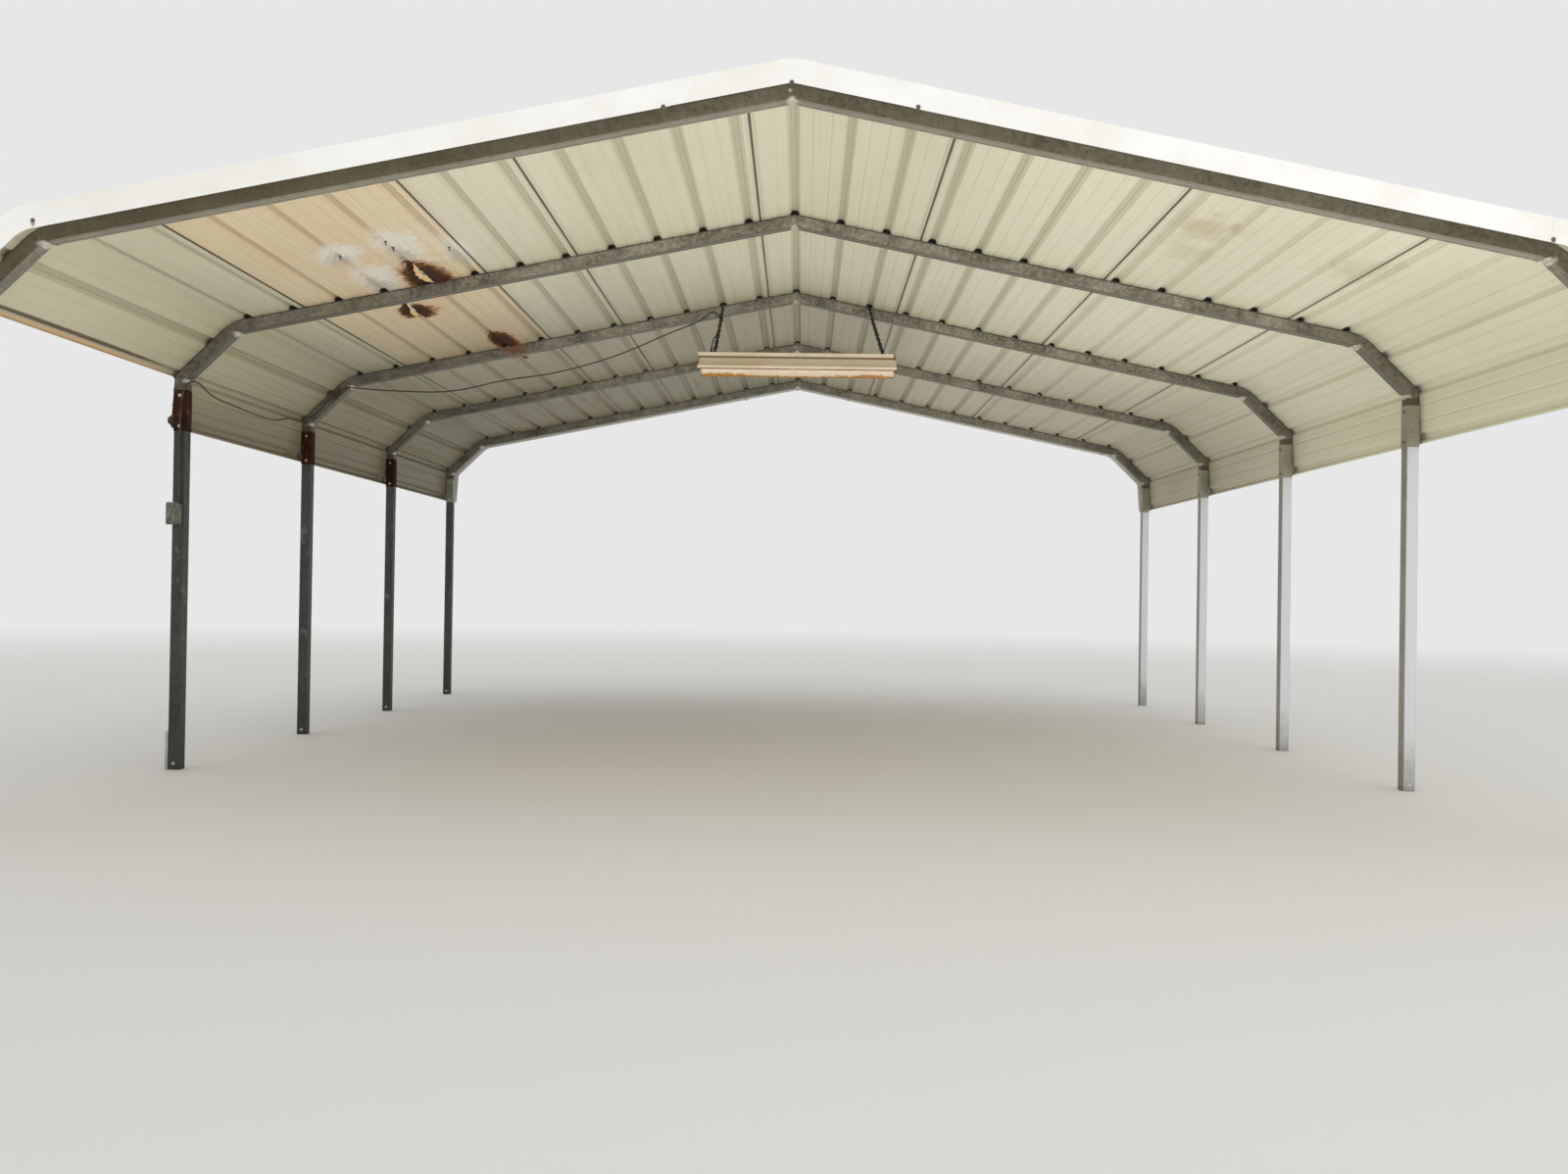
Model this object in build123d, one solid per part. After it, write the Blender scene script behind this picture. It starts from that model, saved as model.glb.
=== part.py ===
"""Two-car carport: five bent square-tube bows on posts, under long ribbed steel sheets.

Millimetres, +Z up. X runs across the carport, the open front faces -Y, and the origin is on
the ground under the middle of the roof. The ribs of the sheets run from front to back.
"""
import math
import os

from build123d import *

# Frame
OUTER_WIDTH = 6096.0
ROOF_LENGTH = 6400.8
ROOF_OVERHANG = 152.4
FRAME_COUNT = 5
TUBE = 57.15
TUBE_WALL = 2.0
TUBE_CHAMFER = 2.5
KNEE_Z = 1932.0
SHOULDER_Z = 2188.0
SHOULDER_INSET = 263.0
APEX_Z = 2743.2

# Bends of a bow, on the tube's centre line
KNEE_RADIUS = 60.0
SHOULDER_RADIUS = 170.0
APEX_RADIUS = 120.0

# Crimp across the inside of each bend
CRIMP_RADIUS = 13.0
CRIMP_DEPTH = 9.0

# Sleeve over the joint of post and bow
SLEEVE_LENGTH = 203.2
SLEEVE_BOTTOM_Z = 1670.0
SLEEVE_WALL = 2.0
SLEEVE_FIT = 0.3

# Roof sheets
SHEET = 0.5
SHEET_SEAT = 0.3
RIB_PITCH = 228.6
RIB_HEIGHT = 19.0
RIB_BASE = 54.0
RIB_TOP = 20.0
BEAD_HEIGHT = 2.5
BEAD_BASE = 16.0
BEAD_TOP = 6.0
BEAD_SPACING = 76.2
LAP_GAP = 0.2
LAP_TAIL = 30.0
OVER_TAIL = 6.0
LAP_STEP = 14.0
EAVE_TAIL = 35.0
CHORD_TURN = 5.0
CHORD_SLACK = 0.01

# Ribs, counted from the ridge down each slope, and how the sheets share them
SHEET_RIB_COUNT = 4
EAVE_RIB_COUNT = 15
RIDGE_LEFT_COUNT = 1
STEP_OFFSET = 3.5

# The lowest strip of the front left bay is cut away at the knee
CUT_Z = 1937.0

# Two holes rusted through the nested ribs of the left slope, each a crescent
RUST_FRONT_RIB_COUNT = 8
RUST_BACK_RIB_COUNT = 9
RUST_FRONT_Y = -1705.0
RUST_BACK_Y = -1137.0
RUST_FRONT_LENGTH = 340.0
RUST_BACK_LENGTH = 240.0
RUST_WIDTH = 26.0
RUST_BOW = 14.0

# Trim along the front and rear edges
TRIM = 0.6
TRIM_FACE = 88.0
TRIM_LIP = 13.0
TRIM_FLANGE = 50.0
TRIM_GAP = 0.3
TRIM_CENTRE_HALF = 490.0
TRIM_LAP = 40.0

# Outlet box on the front of the second left post
BOX_WIDTH = 53.0
BOX_HEIGHT = 106.0
BOX_DEPTH = 46.0
BOX_WALL = 2.5
BOX_CORNER = 5.0
BOX_COVER = 3.0
BOX_COVER_RIM = 2.0
BOX_BOTTOM_Z = 1206.0
BOX_SHIFT = 6.0

# Hanging lamp under the middle bow
LIGHT_LENGTH = 1213.0
LIGHT_X = 9.0
LIGHT_DROP = 352.0
HOUSING_WIDTH = 114.0
HOUSING_HEIGHT = 30.0
LIGHT_SHEET = 0.8
REFLECTOR_SLOPE_RUN = 36.0
REFLECTOR_SLOPE_DROP = 37.0
REFLECTOR_WING_RUN = 36.0
REFLECTOR_WING_DROP = 28.0
REFLECTOR_LIP = 22.0
LAMP_DIAMETER = 38.0
LAMP_SPACING = 84.0
LAMP_DROP = 12.0
LAMP_FIT = 0.3
HOLDER_INSET = 6.0
HOLDER_THICKNESS = 14.0
HOLDER_WIDTH = 28.0

# Hangers of the lamp, over the middle bow in the hollow of a rib
HANGER_RIB_COUNT = 2
HANGER_WIRE = 3.0
HANGER_BEND = 5.0
HANGER_SEAT = 0.8
HANGER_LEFT_INSET = 97.5
HANGER_RIGHT_INSET = 74.5
HANGER_SIDE_COUNT = 6

# Small angle that stands on the ground against the second left post
ANGLE_HEIGHT = 190.0
ANGLE_WIDTH = 40.0
ANGLE_LEG = 14.0
ANGLE_THICKNESS = 3.0
ANGLE_GAP = 0.2

# Cable from the outlet box over two frames to the lamp, through these points
CABLE_DIAMETER = 8.0
CABLE_SIDE_COUNT = 6
CABLE_BEND_SHARE = 0.45
CABLE_ROUTE = [
    (-3008, -1562, 1312),
    (-3008, -1562, 1400),
    (-3010, -1563, 1500),
    (-3011, -1563, 1600),
    (-3010, -1564, 1700),
    (-3007, -1566, 1788),
    (-3000, -1569, 1845),
    (-2986, -1571, 1885),
    (-2968, -1556, 1911),
    (-2960, -1518, 1922),
    (-2962, -1466, 1914),
    (-2966, -1410, 1896),
    (-2969, -1330, 1879),
    (-2971, -1230, 1869),
    (-2973, -1118, 1869),
    (-2975, -1005, 1864),
    (-2977, -890, 1861),
    (-2979, -775, 1859),
    (-2981, -662, 1860),
    (-2984, -552, 1867),
    (-2988, -452, 1887),
    (-2992, -355, 1907),
    (-2998, -255, 1914),
    (-3005, -168, 1917),
    (-3008, -102, 1921),
    (-3004, -63, 1934),
    (-2985, -43, 1960),
    (-2953, -41, 1990),
    (-2905, -42, 2039),
    (-2862, -43, 2085),
    (-2815, -44, 2124),
    (-2757, -44, 2146),
    (-2690, -43, 2144),
    (-2600, -42, 2135),
    (-2490, -42, 2130),
    (-2380, -43, 2127),
    (-2270, -43, 2124),
    (-2162, -43, 2128),
    (-2060, -44, 2141),
    (-1958, -44, 2163),
    (-1858, -44, 2190),
    (-1750, -44, 2211),
    (-1640, -44, 2226),
    (-1530, -43, 2243),
    (-1425, -43, 2267),
    (-1320, -43, 2295),
    (-1215, -43, 2326),
    (-1112, -43, 2361),
    (-1012, -44, 2400),
    (-912, -44, 2444),
    (-822, -44, 2487),
    (-735, -45, 2524),
    (-652, -46, 2556),
    (-590, -47, 2584),
    (-552, -48, 2613),
    (-531, -48, 2634),
    (-500, -48, 2637),
    (-474, -48, 2620),
    (-463, -48, 2591),
    (-467, -48, 2551),
    (-482, -47, 2508),
    (-506, -46, 2470),
    (-516, -45, 2429),
    (-516, -45, 2391.2),
]

# Values that follow from the sizes above
HALF_SPAN = (OUTER_WIDTH - TUBE) / 2
SHOULDER_X = HALF_SPAN - SHOULDER_INSET
JOINT_Z = SLEEVE_BOTTOM_Z + SLEEVE_LENGTH / 2
ROOF_HALF_LENGTH = ROOF_LENGTH / 2
BAY = (ROOF_LENGTH - 2 * ROOF_OVERHANG) / (FRAME_COUNT - 1)
FRAME_YS = [(number - (FRAME_COUNT + 1) / 2) * BAY for number in range(1, FRAME_COUNT + 1)]
PITCH_TURN = math.atan2(APEX_Z - SHOULDER_Z, SHOULDER_X)
DIAGONAL_TURN = math.atan2(SHOULDER_Z - KNEE_Z, SHOULDER_INSET)
SHOULDER_TURN = DIAGONAL_TURN - PITCH_TURN
KNEE_TURN = math.pi / 2 - DIAGONAL_TURN
SHEET_LEVEL = TUBE / 2 + SHEET_SEAT
LIFT = SHEET + LAP_GAP
LIGHT_TOP_Z = APEX_Z - LIGHT_DROP
RIDGE_RIGHT_COUNT = SHEET_RIB_COUNT - RIDGE_LEFT_COUNT


def save(node, shape):
    """Write one sub-part to its own file."""
    export_step(shape, f"parts/{node}.step")


def tangent_length(radius, turn):
    """Length that an arc takes from each of the two runs that it joins."""
    return radius * math.tan(turn / 2)


def skirt_lean(level):
    """Lean of the sheets' skirts, which pass just outside the sleeves' upper corners."""
    out = KNEE_RADIUS + TUBE / 2 + SLEEVE_FIT + SLEEVE_WALL + SHEET_SEAT
    down = KNEE_Z - tangent_length(KNEE_RADIUS, KNEE_TURN) - SLEEVE_BOTTOM_Z - SLEEVE_LENGTH
    return math.acos((KNEE_RADIUS + level) / math.hypot(out, down)) - math.atan2(down, out)


def roof_runs(level):
    """Length and turn of each run from the ridge to below the knee, at a height over the tube's axis."""
    rafter = math.hypot(SHOULDER_X, APEX_Z - SHOULDER_Z)
    diagonal = math.hypot(SHOULDER_INSET, SHOULDER_Z - KNEE_Z)
    apex_tangent = tangent_length(APEX_RADIUS, 2 * PITCH_TURN)
    shoulder_tangent = tangent_length(SHOULDER_RADIUS, SHOULDER_TURN)
    knee_tangent = tangent_length(KNEE_RADIUS, KNEE_TURN)
    knee_turn = KNEE_TURN - skirt_lean(level)
    return [
        ((APEX_RADIUS + level) * PITCH_TURN, PITCH_TURN),
        (rafter - apex_tangent - shoulder_tangent, 0.0),
        ((SHOULDER_RADIUS + level) * SHOULDER_TURN, SHOULDER_TURN),
        (diagonal - shoulder_tangent - knee_tangent, 0.0),
        ((KNEE_RADIUS + level) * knee_turn, knee_turn),
        (KNEE_Z, 0.0),
    ]


def roof_place(girth, level):
    """Place and heading at a distance from the ridge along the roof line, negative to the left."""
    side = -1.0 if girth < 0 else 1.0
    left_over = abs(girth)
    drop_at_apex = APEX_RADIUS * (1 / math.cos(PITCH_TURN) - 1)
    x, z, heading = 0.0, APEX_Z - drop_at_apex + level, 0.0
    for length, turn in roof_runs(level):
        part = min(left_over, length)
        if turn:
            radius = length / turn
            angle = part / radius
            x += radius * (math.sin(heading + angle) - math.sin(heading))
            z += radius * (math.cos(heading + angle) - math.cos(heading))
            heading += angle
        else:
            x += part * math.cos(heading)
            z -= part * math.sin(heading)
        left_over -= part
        if left_over <= 0:
            break
    return side * x, z, side * heading


def roof_point(girth, height):
    """Point at a height over the sheets' underside, square to the roof line."""
    x, z, heading = roof_place(girth, SHEET_LEVEL)
    return x + height * math.sin(heading), z + height * math.cos(heading)


def split_at_bends(outline):
    """Add a corner to an outline wherever the roof line begins or ends a bend."""
    ends = [0.0]
    for length, _ in roof_runs(SHEET_LEVEL):
        ends.append(ends[-1] + length)
    split = [outline[0]]
    for (girth_a, height_a), (girth_b, height_b) in zip(outline, outline[1:]):
        for end in sorted([-length for length in ends[1:]] + ends):
            if girth_a < end < girth_b:
                share = (end - girth_a) / (girth_b - girth_a)
                split.append((end, height_a + (height_b - height_a) * share))
        split.append((girth_b, height_b))
    return split


def follow_roof(outline):
    """Carry an outline of girths and heights onto the bent roof line, with chords in the bends."""
    outline = split_at_bends(outline)
    points = [roof_point(*outline[0])]
    for (girth_a, height_a), (girth_b, height_b) in zip(outline, outline[1:]):
        turn = abs(roof_place(girth_b, SHEET_LEVEL)[2] - roof_place(girth_a, SHEET_LEVEL)[2])
        steps = max(1, math.ceil((math.degrees(turn) - CHORD_SLACK) / CHORD_TURN))
        for step in range(1, steps + 1):
            share = step / steps
            girth = girth_a + (girth_b - girth_a) * share
            points.append(roof_point(girth, height_a + (height_b - height_a) * share))
    return points


def offset_outline(outline, distances):
    """Move each corner of an open outline to its left by its own distance, with mitred corners."""
    moved = []
    for index, (point, distance) in enumerate(zip(outline, distances)):
        before = outline[max(index - 1, 0)]
        after = outline[min(index + 1, len(outline) - 1)]
        normals = []
        for start, end in ((before, point), (point, after)):
            length = math.hypot(end[0] - start[0], end[1] - start[1])
            if length > 0:
                normals.append((-(end[1] - start[1]) / length, (end[0] - start[0]) / length))
        first, last = normals[0], normals[-1]
        scale = distance / (1 + first[0] * last[0] + first[1] * last[1])
        moved.append((point[0] + scale * (first[0] + last[0]), point[1] + scale * (first[1] + last[1])))
    return moved


def trapezoid(centre, base, top, height):
    """Four corners of a rib or bead."""
    return [
        (centre - base / 2, 0.0),
        (centre - top / 2, height),
        (centre + top / 2, height),
        (centre + base / 2, 0.0),
    ]


def sheet_outline(first_rib, last_rib, start, end):
    """Underside of a sheet laid flat: ribs, the beads between them and the two edges."""
    outline = [(start, 0.0)]
    for rib in range(first_rib, last_rib + 1):
        outline += trapezoid(rib * RIB_PITCH, RIB_BASE, RIB_TOP, RIB_HEIGHT)
        if rib < last_rib:
            middle = (rib + 0.5) * RIB_PITCH
            for side in (-1, 1):
                outline += trapezoid(middle + side * BEAD_SPACING / 2, BEAD_BASE, BEAD_TOP, BEAD_HEIGHT)
    return outline + [(end, 0.0)]


def roof_sheet(first_rib, last_rib, laps_left=0, laps_right=0):
    """One ribbed sheet from front to back, its first or last ribs nested over the sheet below it."""
    half = RIB_BASE / 2
    if first_rib == -EAVE_RIB_COUNT:
        start = first_rib * RIB_PITCH - EAVE_TAIL
    elif laps_left:
        start = first_rib * RIB_PITCH - half - OVER_TAIL
    else:
        start = first_rib * RIB_PITCH - half - LAP_TAIL
    if last_rib == EAVE_RIB_COUNT:
        end = last_rib * RIB_PITCH + EAVE_TAIL
    elif laps_right:
        end = last_rib * RIB_PITCH + half + OVER_TAIL
    else:
        end = last_rib * RIB_PITCH + half + LAP_TAIL
    outline = sheet_outline(first_rib, last_rib, start, end)
    raised_to = (first_rib + laps_left - 1) * RIB_PITCH + half + LAP_TAIL + STEP_OFFSET
    raised_from = (last_rib - laps_right + 1) * RIB_PITCH - half - LAP_TAIL - STEP_OFFSET
    if laps_left:
        outline = insert_step(outline, raised_to, raised_to + LAP_STEP)
    if laps_right:
        outline = insert_step(outline, raised_from - LAP_STEP, raised_from)
    lifts = []
    for girth, _ in outline:
        is_raised = (laps_left and girth <= raised_to) or (laps_right and girth >= raised_from)
        lifts.append(LIFT if is_raised else 0.0)
    under = offset_outline(outline, lifts)
    over = offset_outline(under, [SHEET] * len(under))
    lower = follow_roof(under)
    upper = follow_roof(over)
    corners = [(x, 0.0, z) for x, z in lower + upper[::-1]]
    section = make_face(Polyline(*corners, close=True))
    return extrude(Pos(0, ROOF_HALF_LENGTH, 0) * section, amount=2 * ROOF_HALF_LENGTH, dir=(0, -1, 0))


def insert_step(outline, low, high):
    """Add the two corners of a lap's step to an outline, between the corners that are there."""
    return sorted(outline + [(low, 0.0), (high, 0.0)], key=lambda point: point[0])


def chamfered_plate(width, height, corner):
    """Rectangle with small flats at its corners."""
    return chamfer(Rectangle(width, height).vertices(), corner)


def square_tube(size, wall, corner, bottom, length):
    """Upright square tube, open at both ends."""
    outer = extrude(chamfered_plate(size, size, corner), amount=length)
    inner = extrude(Rectangle(size - 2 * wall, size - 2 * wall), amount=length)
    return Pos(0, 0, bottom) * (outer - inner)


def bow_line():
    """Centre line of a bow, from one sleeve joint over the ridge to the other."""
    corners = [
        (-HALF_SPAN, 0, JOINT_Z),
        (-HALF_SPAN, 0, KNEE_Z),
        (-SHOULDER_X, 0, SHOULDER_Z),
        (0, 0, APEX_Z),
        (SHOULDER_X, 0, SHOULDER_Z),
        (HALF_SPAN, 0, KNEE_Z),
        (HALF_SPAN, 0, JOINT_Z),
    ]
    radii = [KNEE_RADIUS, SHOULDER_RADIUS, APEX_RADIUS, SHOULDER_RADIUS, KNEE_RADIUS]
    return corners, radii


def crimp_rolls(radius):
    """Rolls that press the inside of each bend in, with the given radius."""
    corners, bends = bow_line()
    rolls = []
    for before, corner, after, bend in zip(corners, corners[1:], corners[2:], bends):
        back = (Vector(*before) - Vector(*corner)).normalized()
        ahead = (Vector(*after) - Vector(*corner)).normalized()
        inward = (back + ahead).normalized()
        half_turn = (math.pi - math.radians(back.get_angle(ahead))) / 2
        centre = Vector(*corner) + inward * (bend / math.cos(half_turn))
        reach = bend - TUBE / 2 + CRIMP_DEPTH - CRIMP_RADIUS
        place = centre - inward * reach
        rolls.append(Pos(place.X, 0, place.Z) * Rot(90, 0, 0) * Cylinder(radius, 2 * TUBE))
    return rolls


def bow():
    """One-piece bow with two knees, two shoulders and the ridge bend, crimped on the inside."""
    corners, radii = bow_line()
    path = FilletPolyline(*corners, radius=radii)
    base = Plane(origin=corners[0], x_dir=(1, 0, 0), z_dir=(0, 0, 1))
    inner_size = TUBE - 2 * TUBE_WALL
    skin = sweep(base * Rectangle(TUBE, TUBE), path=path)
    hollow = sweep(base * Rectangle(inner_size, inner_size), path=path)
    for roll in crimp_rolls(CRIMP_RADIUS):
        skin = skin - roll
    for roll in crimp_rolls(CRIMP_RADIUS + TUBE_WALL):
        hollow = hollow - roll
    return skin - hollow


def ribbon(low, high, start, end, front, depth):
    """Strip that follows the roof line between two heights and two girths."""
    lower = follow_roof([(start, low), (end, low)])
    upper = follow_roof([(start, high), (end, high)])
    corners = [(x, front, z) for x, z in lower + upper[::-1]]
    return extrude(make_face(Polyline(*corners, close=True)), amount=depth, dir=(0, 1, 0))


def rust_through(sheet):
    """Cut the two rusted crescents out of a sheet."""
    holes = (
        (RUST_FRONT_RIB_COUNT, RUST_FRONT_Y, RUST_FRONT_LENGTH),
        (RUST_BACK_RIB_COUNT, RUST_BACK_Y, RUST_BACK_LENGTH),
    )
    for rib, middle, length in holes:
        x, _, _ = roof_place(-rib * RIB_PITCH, TUBE / 2)
        tip = length / 2
        outer = [(RUST_BOW, -tip), (0.0, -tip / 2), (-RUST_BOW / 2, 0.0), (0.0, tip / 2), (RUST_BOW, tip)]
        inner = [(RUST_WIDTH - RUST_BOW / 2, tip / 3), (RUST_WIDTH, -tip / 3)]
        crescent = make_face(Polyline(*(outer + inner), close=True))
        sheet = sheet - Pos(x, middle, 0) * extrude(crescent, amount=2 * APEX_Z)
    return sheet


def trim_piece(start, end, lift, lap=0.0):
    """Angle trim for the front edge: an upright face, and a flange on the ribs that ends before the laps."""
    crown = RIB_HEIGHT + SHEET + LIFT + TRIM_GAP + lift
    front = -ROOF_HALF_LENGTH - TRIM_GAP - TRIM - lift
    top = crown + TRIM + TRIM_LIP
    face = ribbon(top - TRIM_FACE, top, start, end, front, TRIM)
    flange = ribbon(crown, crown + TRIM, start + lap, end - lap, front, TRIM_FLANGE)
    return face + flange


def trims():
    """The trim of one edge as two sets of strips: the long runs, and the pieces that lap over them."""
    eave = EAVE_RIB_COUNT * RIB_PITCH + EAVE_TAIL
    shoulder = roof_runs(SHEET_LEVEL)[0][0] + roof_runs(SHEET_LEVEL)[1][0]
    lift = TRIM + LAP_GAP
    lap = TRIM_LAP + TRIM_GAP
    runs = [
        trim_piece(-shoulder, -TRIM_CENTRE_HALF + TRIM_LAP, 0.0),
        trim_piece(TRIM_CENTRE_HALF - TRIM_LAP, shoulder, 0.0),
    ]
    caps = [
        trim_piece(-eave, TRIM_LAP - shoulder, lift, lap),
        trim_piece(-TRIM_CENTRE_HALF, TRIM_CENTRE_HALF, lift, lap),
        trim_piece(shoulder - TRIM_LAP, eave, lift, lap),
    ]
    return runs, caps


def outlet_box():
    """Shallow metal box with a cover, screwed to the front of a post."""
    front = -BAY - TUBE / 2
    body = extrude(chamfered_plate(BOX_WIDTH, BOX_HEIGHT, BOX_CORNER), amount=BOX_DEPTH)
    room = chamfered_plate(BOX_WIDTH - 2 * BOX_WALL, BOX_HEIGHT - 2 * BOX_WALL, BOX_CORNER - BOX_WALL)
    body -= Pos(0, 0, BOX_WALL) * extrude(room, amount=BOX_DEPTH - BOX_WALL)
    cover_width = BOX_WIDTH + 2 * BOX_COVER_RIM
    cover_height = BOX_HEIGHT + 2 * BOX_COVER_RIM
    cover = extrude(chamfered_plate(cover_width, cover_height, BOX_CORNER), amount=BOX_COVER)
    whole = body + Pos(0, 0, BOX_DEPTH) * cover
    place = (-HALF_SPAN - BOX_SHIFT, front, BOX_BOTTOM_Z + BOX_HEIGHT / 2)
    return Plane(origin=place, x_dir=(1, 0, 0), z_dir=(0, -1, 0)) * whole


def strip_profile(points, thickness):
    """Closed section of a bent strip, from the points of its inner side."""
    outer = offset_outline(points, [thickness] * len(points))
    return make_face(Plane.YZ * Polyline(*(points + outer[::-1]), close=True))


def light_housing():
    """Channel that holds the lamp's wiring, closed at both ends."""
    width, height = HOUSING_WIDTH, HOUSING_HEIGHT
    outer = Pos(LIGHT_X, 0, LIGHT_TOP_Z - height / 2) * Box(LIGHT_LENGTH, width, height)
    room_size = (LIGHT_LENGTH - 2 * LIGHT_SHEET, width - 2 * LIGHT_SHEET, height)
    room = Pos(LIGHT_X, 0, LIGHT_TOP_Z - height / 2 - LIGHT_SHEET) * Box(*room_size)
    return outer - room


def light_reflector():
    """Folded reflector under the housing: a flat top, two slopes a side and a turned lip."""
    top = LIGHT_TOP_Z - HOUSING_HEIGHT
    half = HOUSING_WIDTH / 2
    side = [(half, top)]
    side.append((half + REFLECTOR_SLOPE_RUN, top - REFLECTOR_SLOPE_DROP))
    side.append((side[-1][0] + REFLECTOR_WING_RUN, side[-1][1] - REFLECTOR_WING_DROP))
    side.append((side[-1][0], side[-1][1] - REFLECTOR_LIP))
    points = [(-y, z) for y, z in side[::-1]] + side
    section = strip_profile(points, -LIGHT_SHEET)
    return Pos(LIGHT_X - LIGHT_LENGTH / 2, 0, 0) * extrude(section, amount=LIGHT_LENGTH, dir=(1, 0, 0))


def light_holders():
    """Four lamp holders that stand down from the reflector's top, two at each end."""
    top = LIGHT_TOP_Z - HOUSING_HEIGHT - LIGHT_SHEET
    height = LAMP_DROP + LAMP_DIAMETER
    out = LIGHT_LENGTH / 2 - HOLDER_INSET - HOLDER_THICKNESS / 2
    holders = []
    for end in (-1, 1):
        for side in (-1, 1):
            place = Pos(LIGHT_X + end * out, side * LAMP_SPACING / 2, top - height / 2)
            holders.append(place * Box(HOLDER_THICKNESS, HOLDER_WIDTH, height))
    return Compound(children=holders)


def light_lamps():
    """Two tube lamps between their holders."""
    middle_z = LIGHT_TOP_Z - HOUSING_HEIGHT - LIGHT_SHEET - LAMP_DROP - LAMP_DIAMETER / 2
    length = LIGHT_LENGTH - 2 * (HOLDER_INSET + HOLDER_THICKNESS + LAMP_FIT)
    lamps = []
    for side in (-1, 1):
        place = Pos(LIGHT_X, side * LAMP_SPACING / 2, middle_z)
        lamps.append(place * Rot(0, 90, 0) * Cylinder(LAMP_DIAMETER / 2, length))
    return Compound(children=lamps)


def hanger(side, inset):
    """Wire over the middle bow, through the hollow of a rib and down to the lamp on both sides."""
    foot_x = LIGHT_X + side * (LIGHT_LENGTH / 2 - inset)
    x, z, _ = roof_place(side * HANGER_RIB_COUNT * RIB_PITCH, TUBE / 2)
    clear = HANGER_WIRE / 2 + SHEET_SEAT
    near = TUBE / 2 + clear
    corners = [
        (foot_x, -near, LIGHT_TOP_Z + HANGER_SEAT),
        (x, -near, z + clear + HANGER_WIRE),
        (x, near, z + clear + HANGER_WIRE),
        (foot_x, near, LIGHT_TOP_Z + HANGER_SEAT),
    ]
    path = FilletPolyline(*corners, radius=HANGER_BEND)
    start = Plane(origin=corners[0], z_dir=Vector(*corners[1]) - Vector(*corners[0]))
    return sweep(start * RegularPolygon(HANGER_WIRE / 2, HANGER_SIDE_COUNT), path=path)


def light_cable():
    """Cable as straight runs joined by arcs that are as large as the runs allow."""
    points = [Vector(*point) for point in CABLE_ROUTE]
    runs = [after - before for before, after in zip(points, points[1:])]
    radii = []
    for before, after in zip(runs, runs[1:]):
        half_turn = math.radians(before.get_angle(after)) / 2
        shorter = min(before.length, after.length)
        radii.append(CABLE_BEND_SHARE * shorter / math.tan(half_turn))
    path = FilletPolyline(*points, radius=radii)
    start = Plane(origin=points[0], z_dir=runs[0])
    section = RegularPolygon(CABLE_DIAMETER / 2, CABLE_SIDE_COUNT)
    cable = sweep(start * section, path=path)
    print("cable length", round(path.length), "volume over section times length",
          round(cable.volume / section.area / path.length, 4))
    print("cable runs", [round(run.length) for run in runs])
    print("cable radii", [round(radius) for radius in radii])
    return cable


def foot_angle():
    """Short angle that stands on the ground against the outer side of the second left post."""
    post_side = -HALF_SPAN - TUBE / 2 - ANGLE_GAP
    front = FRAME_YS[1] - TUBE / 2
    corner = (Align.MAX, Align.MIN, Align.MIN)
    plate = Box(ANGLE_THICKNESS, ANGLE_WIDTH, ANGLE_HEIGHT, align=corner)
    leg = Box(ANGLE_LEG, ANGLE_THICKNESS, ANGLE_HEIGHT, align=corner)
    return Pos(post_side, front, 0) * (plate + leg)


def cut_front_left(piece):
    """Take away what hangs below the knee in front of the second left post."""
    front = -ROOF_HALF_LENGTH - TUBE
    back = FRAME_YS[1] - TUBE / 2
    away = Box(OUTER_WIDTH, back - front, CUT_Z, align=(Align.MAX, Align.MIN, Align.MIN))
    return piece - Pos(0, front, 0) * away


def save_frame():
    """Write the bows, the posts and the sleeves of every frame."""
    post = square_tube(TUBE, TUBE_WALL, TUBE_CHAMFER, 0.0, JOINT_Z)
    sleeve_size = TUBE + 2 * SLEEVE_FIT + 2 * SLEEVE_WALL
    sleeve = square_tube(sleeve_size, SLEEVE_WALL, TUBE_CHAMFER, SLEEVE_BOTTOM_Z, SLEEVE_LENGTH)
    one_bow = bow()
    for number, frame_y in enumerate(FRAME_YS, start=1):
        save(f"bow_{number}", Pos(0, frame_y, 0) * one_bow)
        for side, name in ((-1, "left"), (1, "right")):
            place = Pos(side * HALF_SPAN, frame_y, 0)
            save(f"post_{name}_{number}", place * post)
            save(f"sleeve_{name}_{number}", place * sleeve)


def save_roof():
    """Write the roof sheets, each lapped over the next one down its slope."""
    span = SHEET_RIB_COUNT
    ridge = (-RIDGE_LEFT_COUNT, RIDGE_RIGHT_COUNT)
    save("sheet_ridge", roof_sheet(*ridge, laps_left=1, laps_right=1))
    first = ridge[1]
    save("sheet_right_upper", roof_sheet(first, first + span, laps_right=1))
    save("sheet_right_lower", roof_sheet(first + span, first + 2 * span, laps_right=1))
    save("sheet_right_eave", roof_sheet(first + 2 * span, EAVE_RIB_COUNT))
    last = ridge[0]
    low = span - EAVE_RIB_COUNT
    nested = low + span - (last - 2 * span) + 1
    save("sheet_left_upper", roof_sheet(last - span, last, laps_left=1))
    save("sheet_left_middle", rust_through(roof_sheet(last - 2 * span, last - span, laps_left=nested)))
    save("sheet_left_lower", rust_through(roof_sheet(low, low + span, laps_left=1)))
    save("sheet_left_eave", cut_front_left(roof_sheet(-EAVE_RIB_COUNT, low)))


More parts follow.
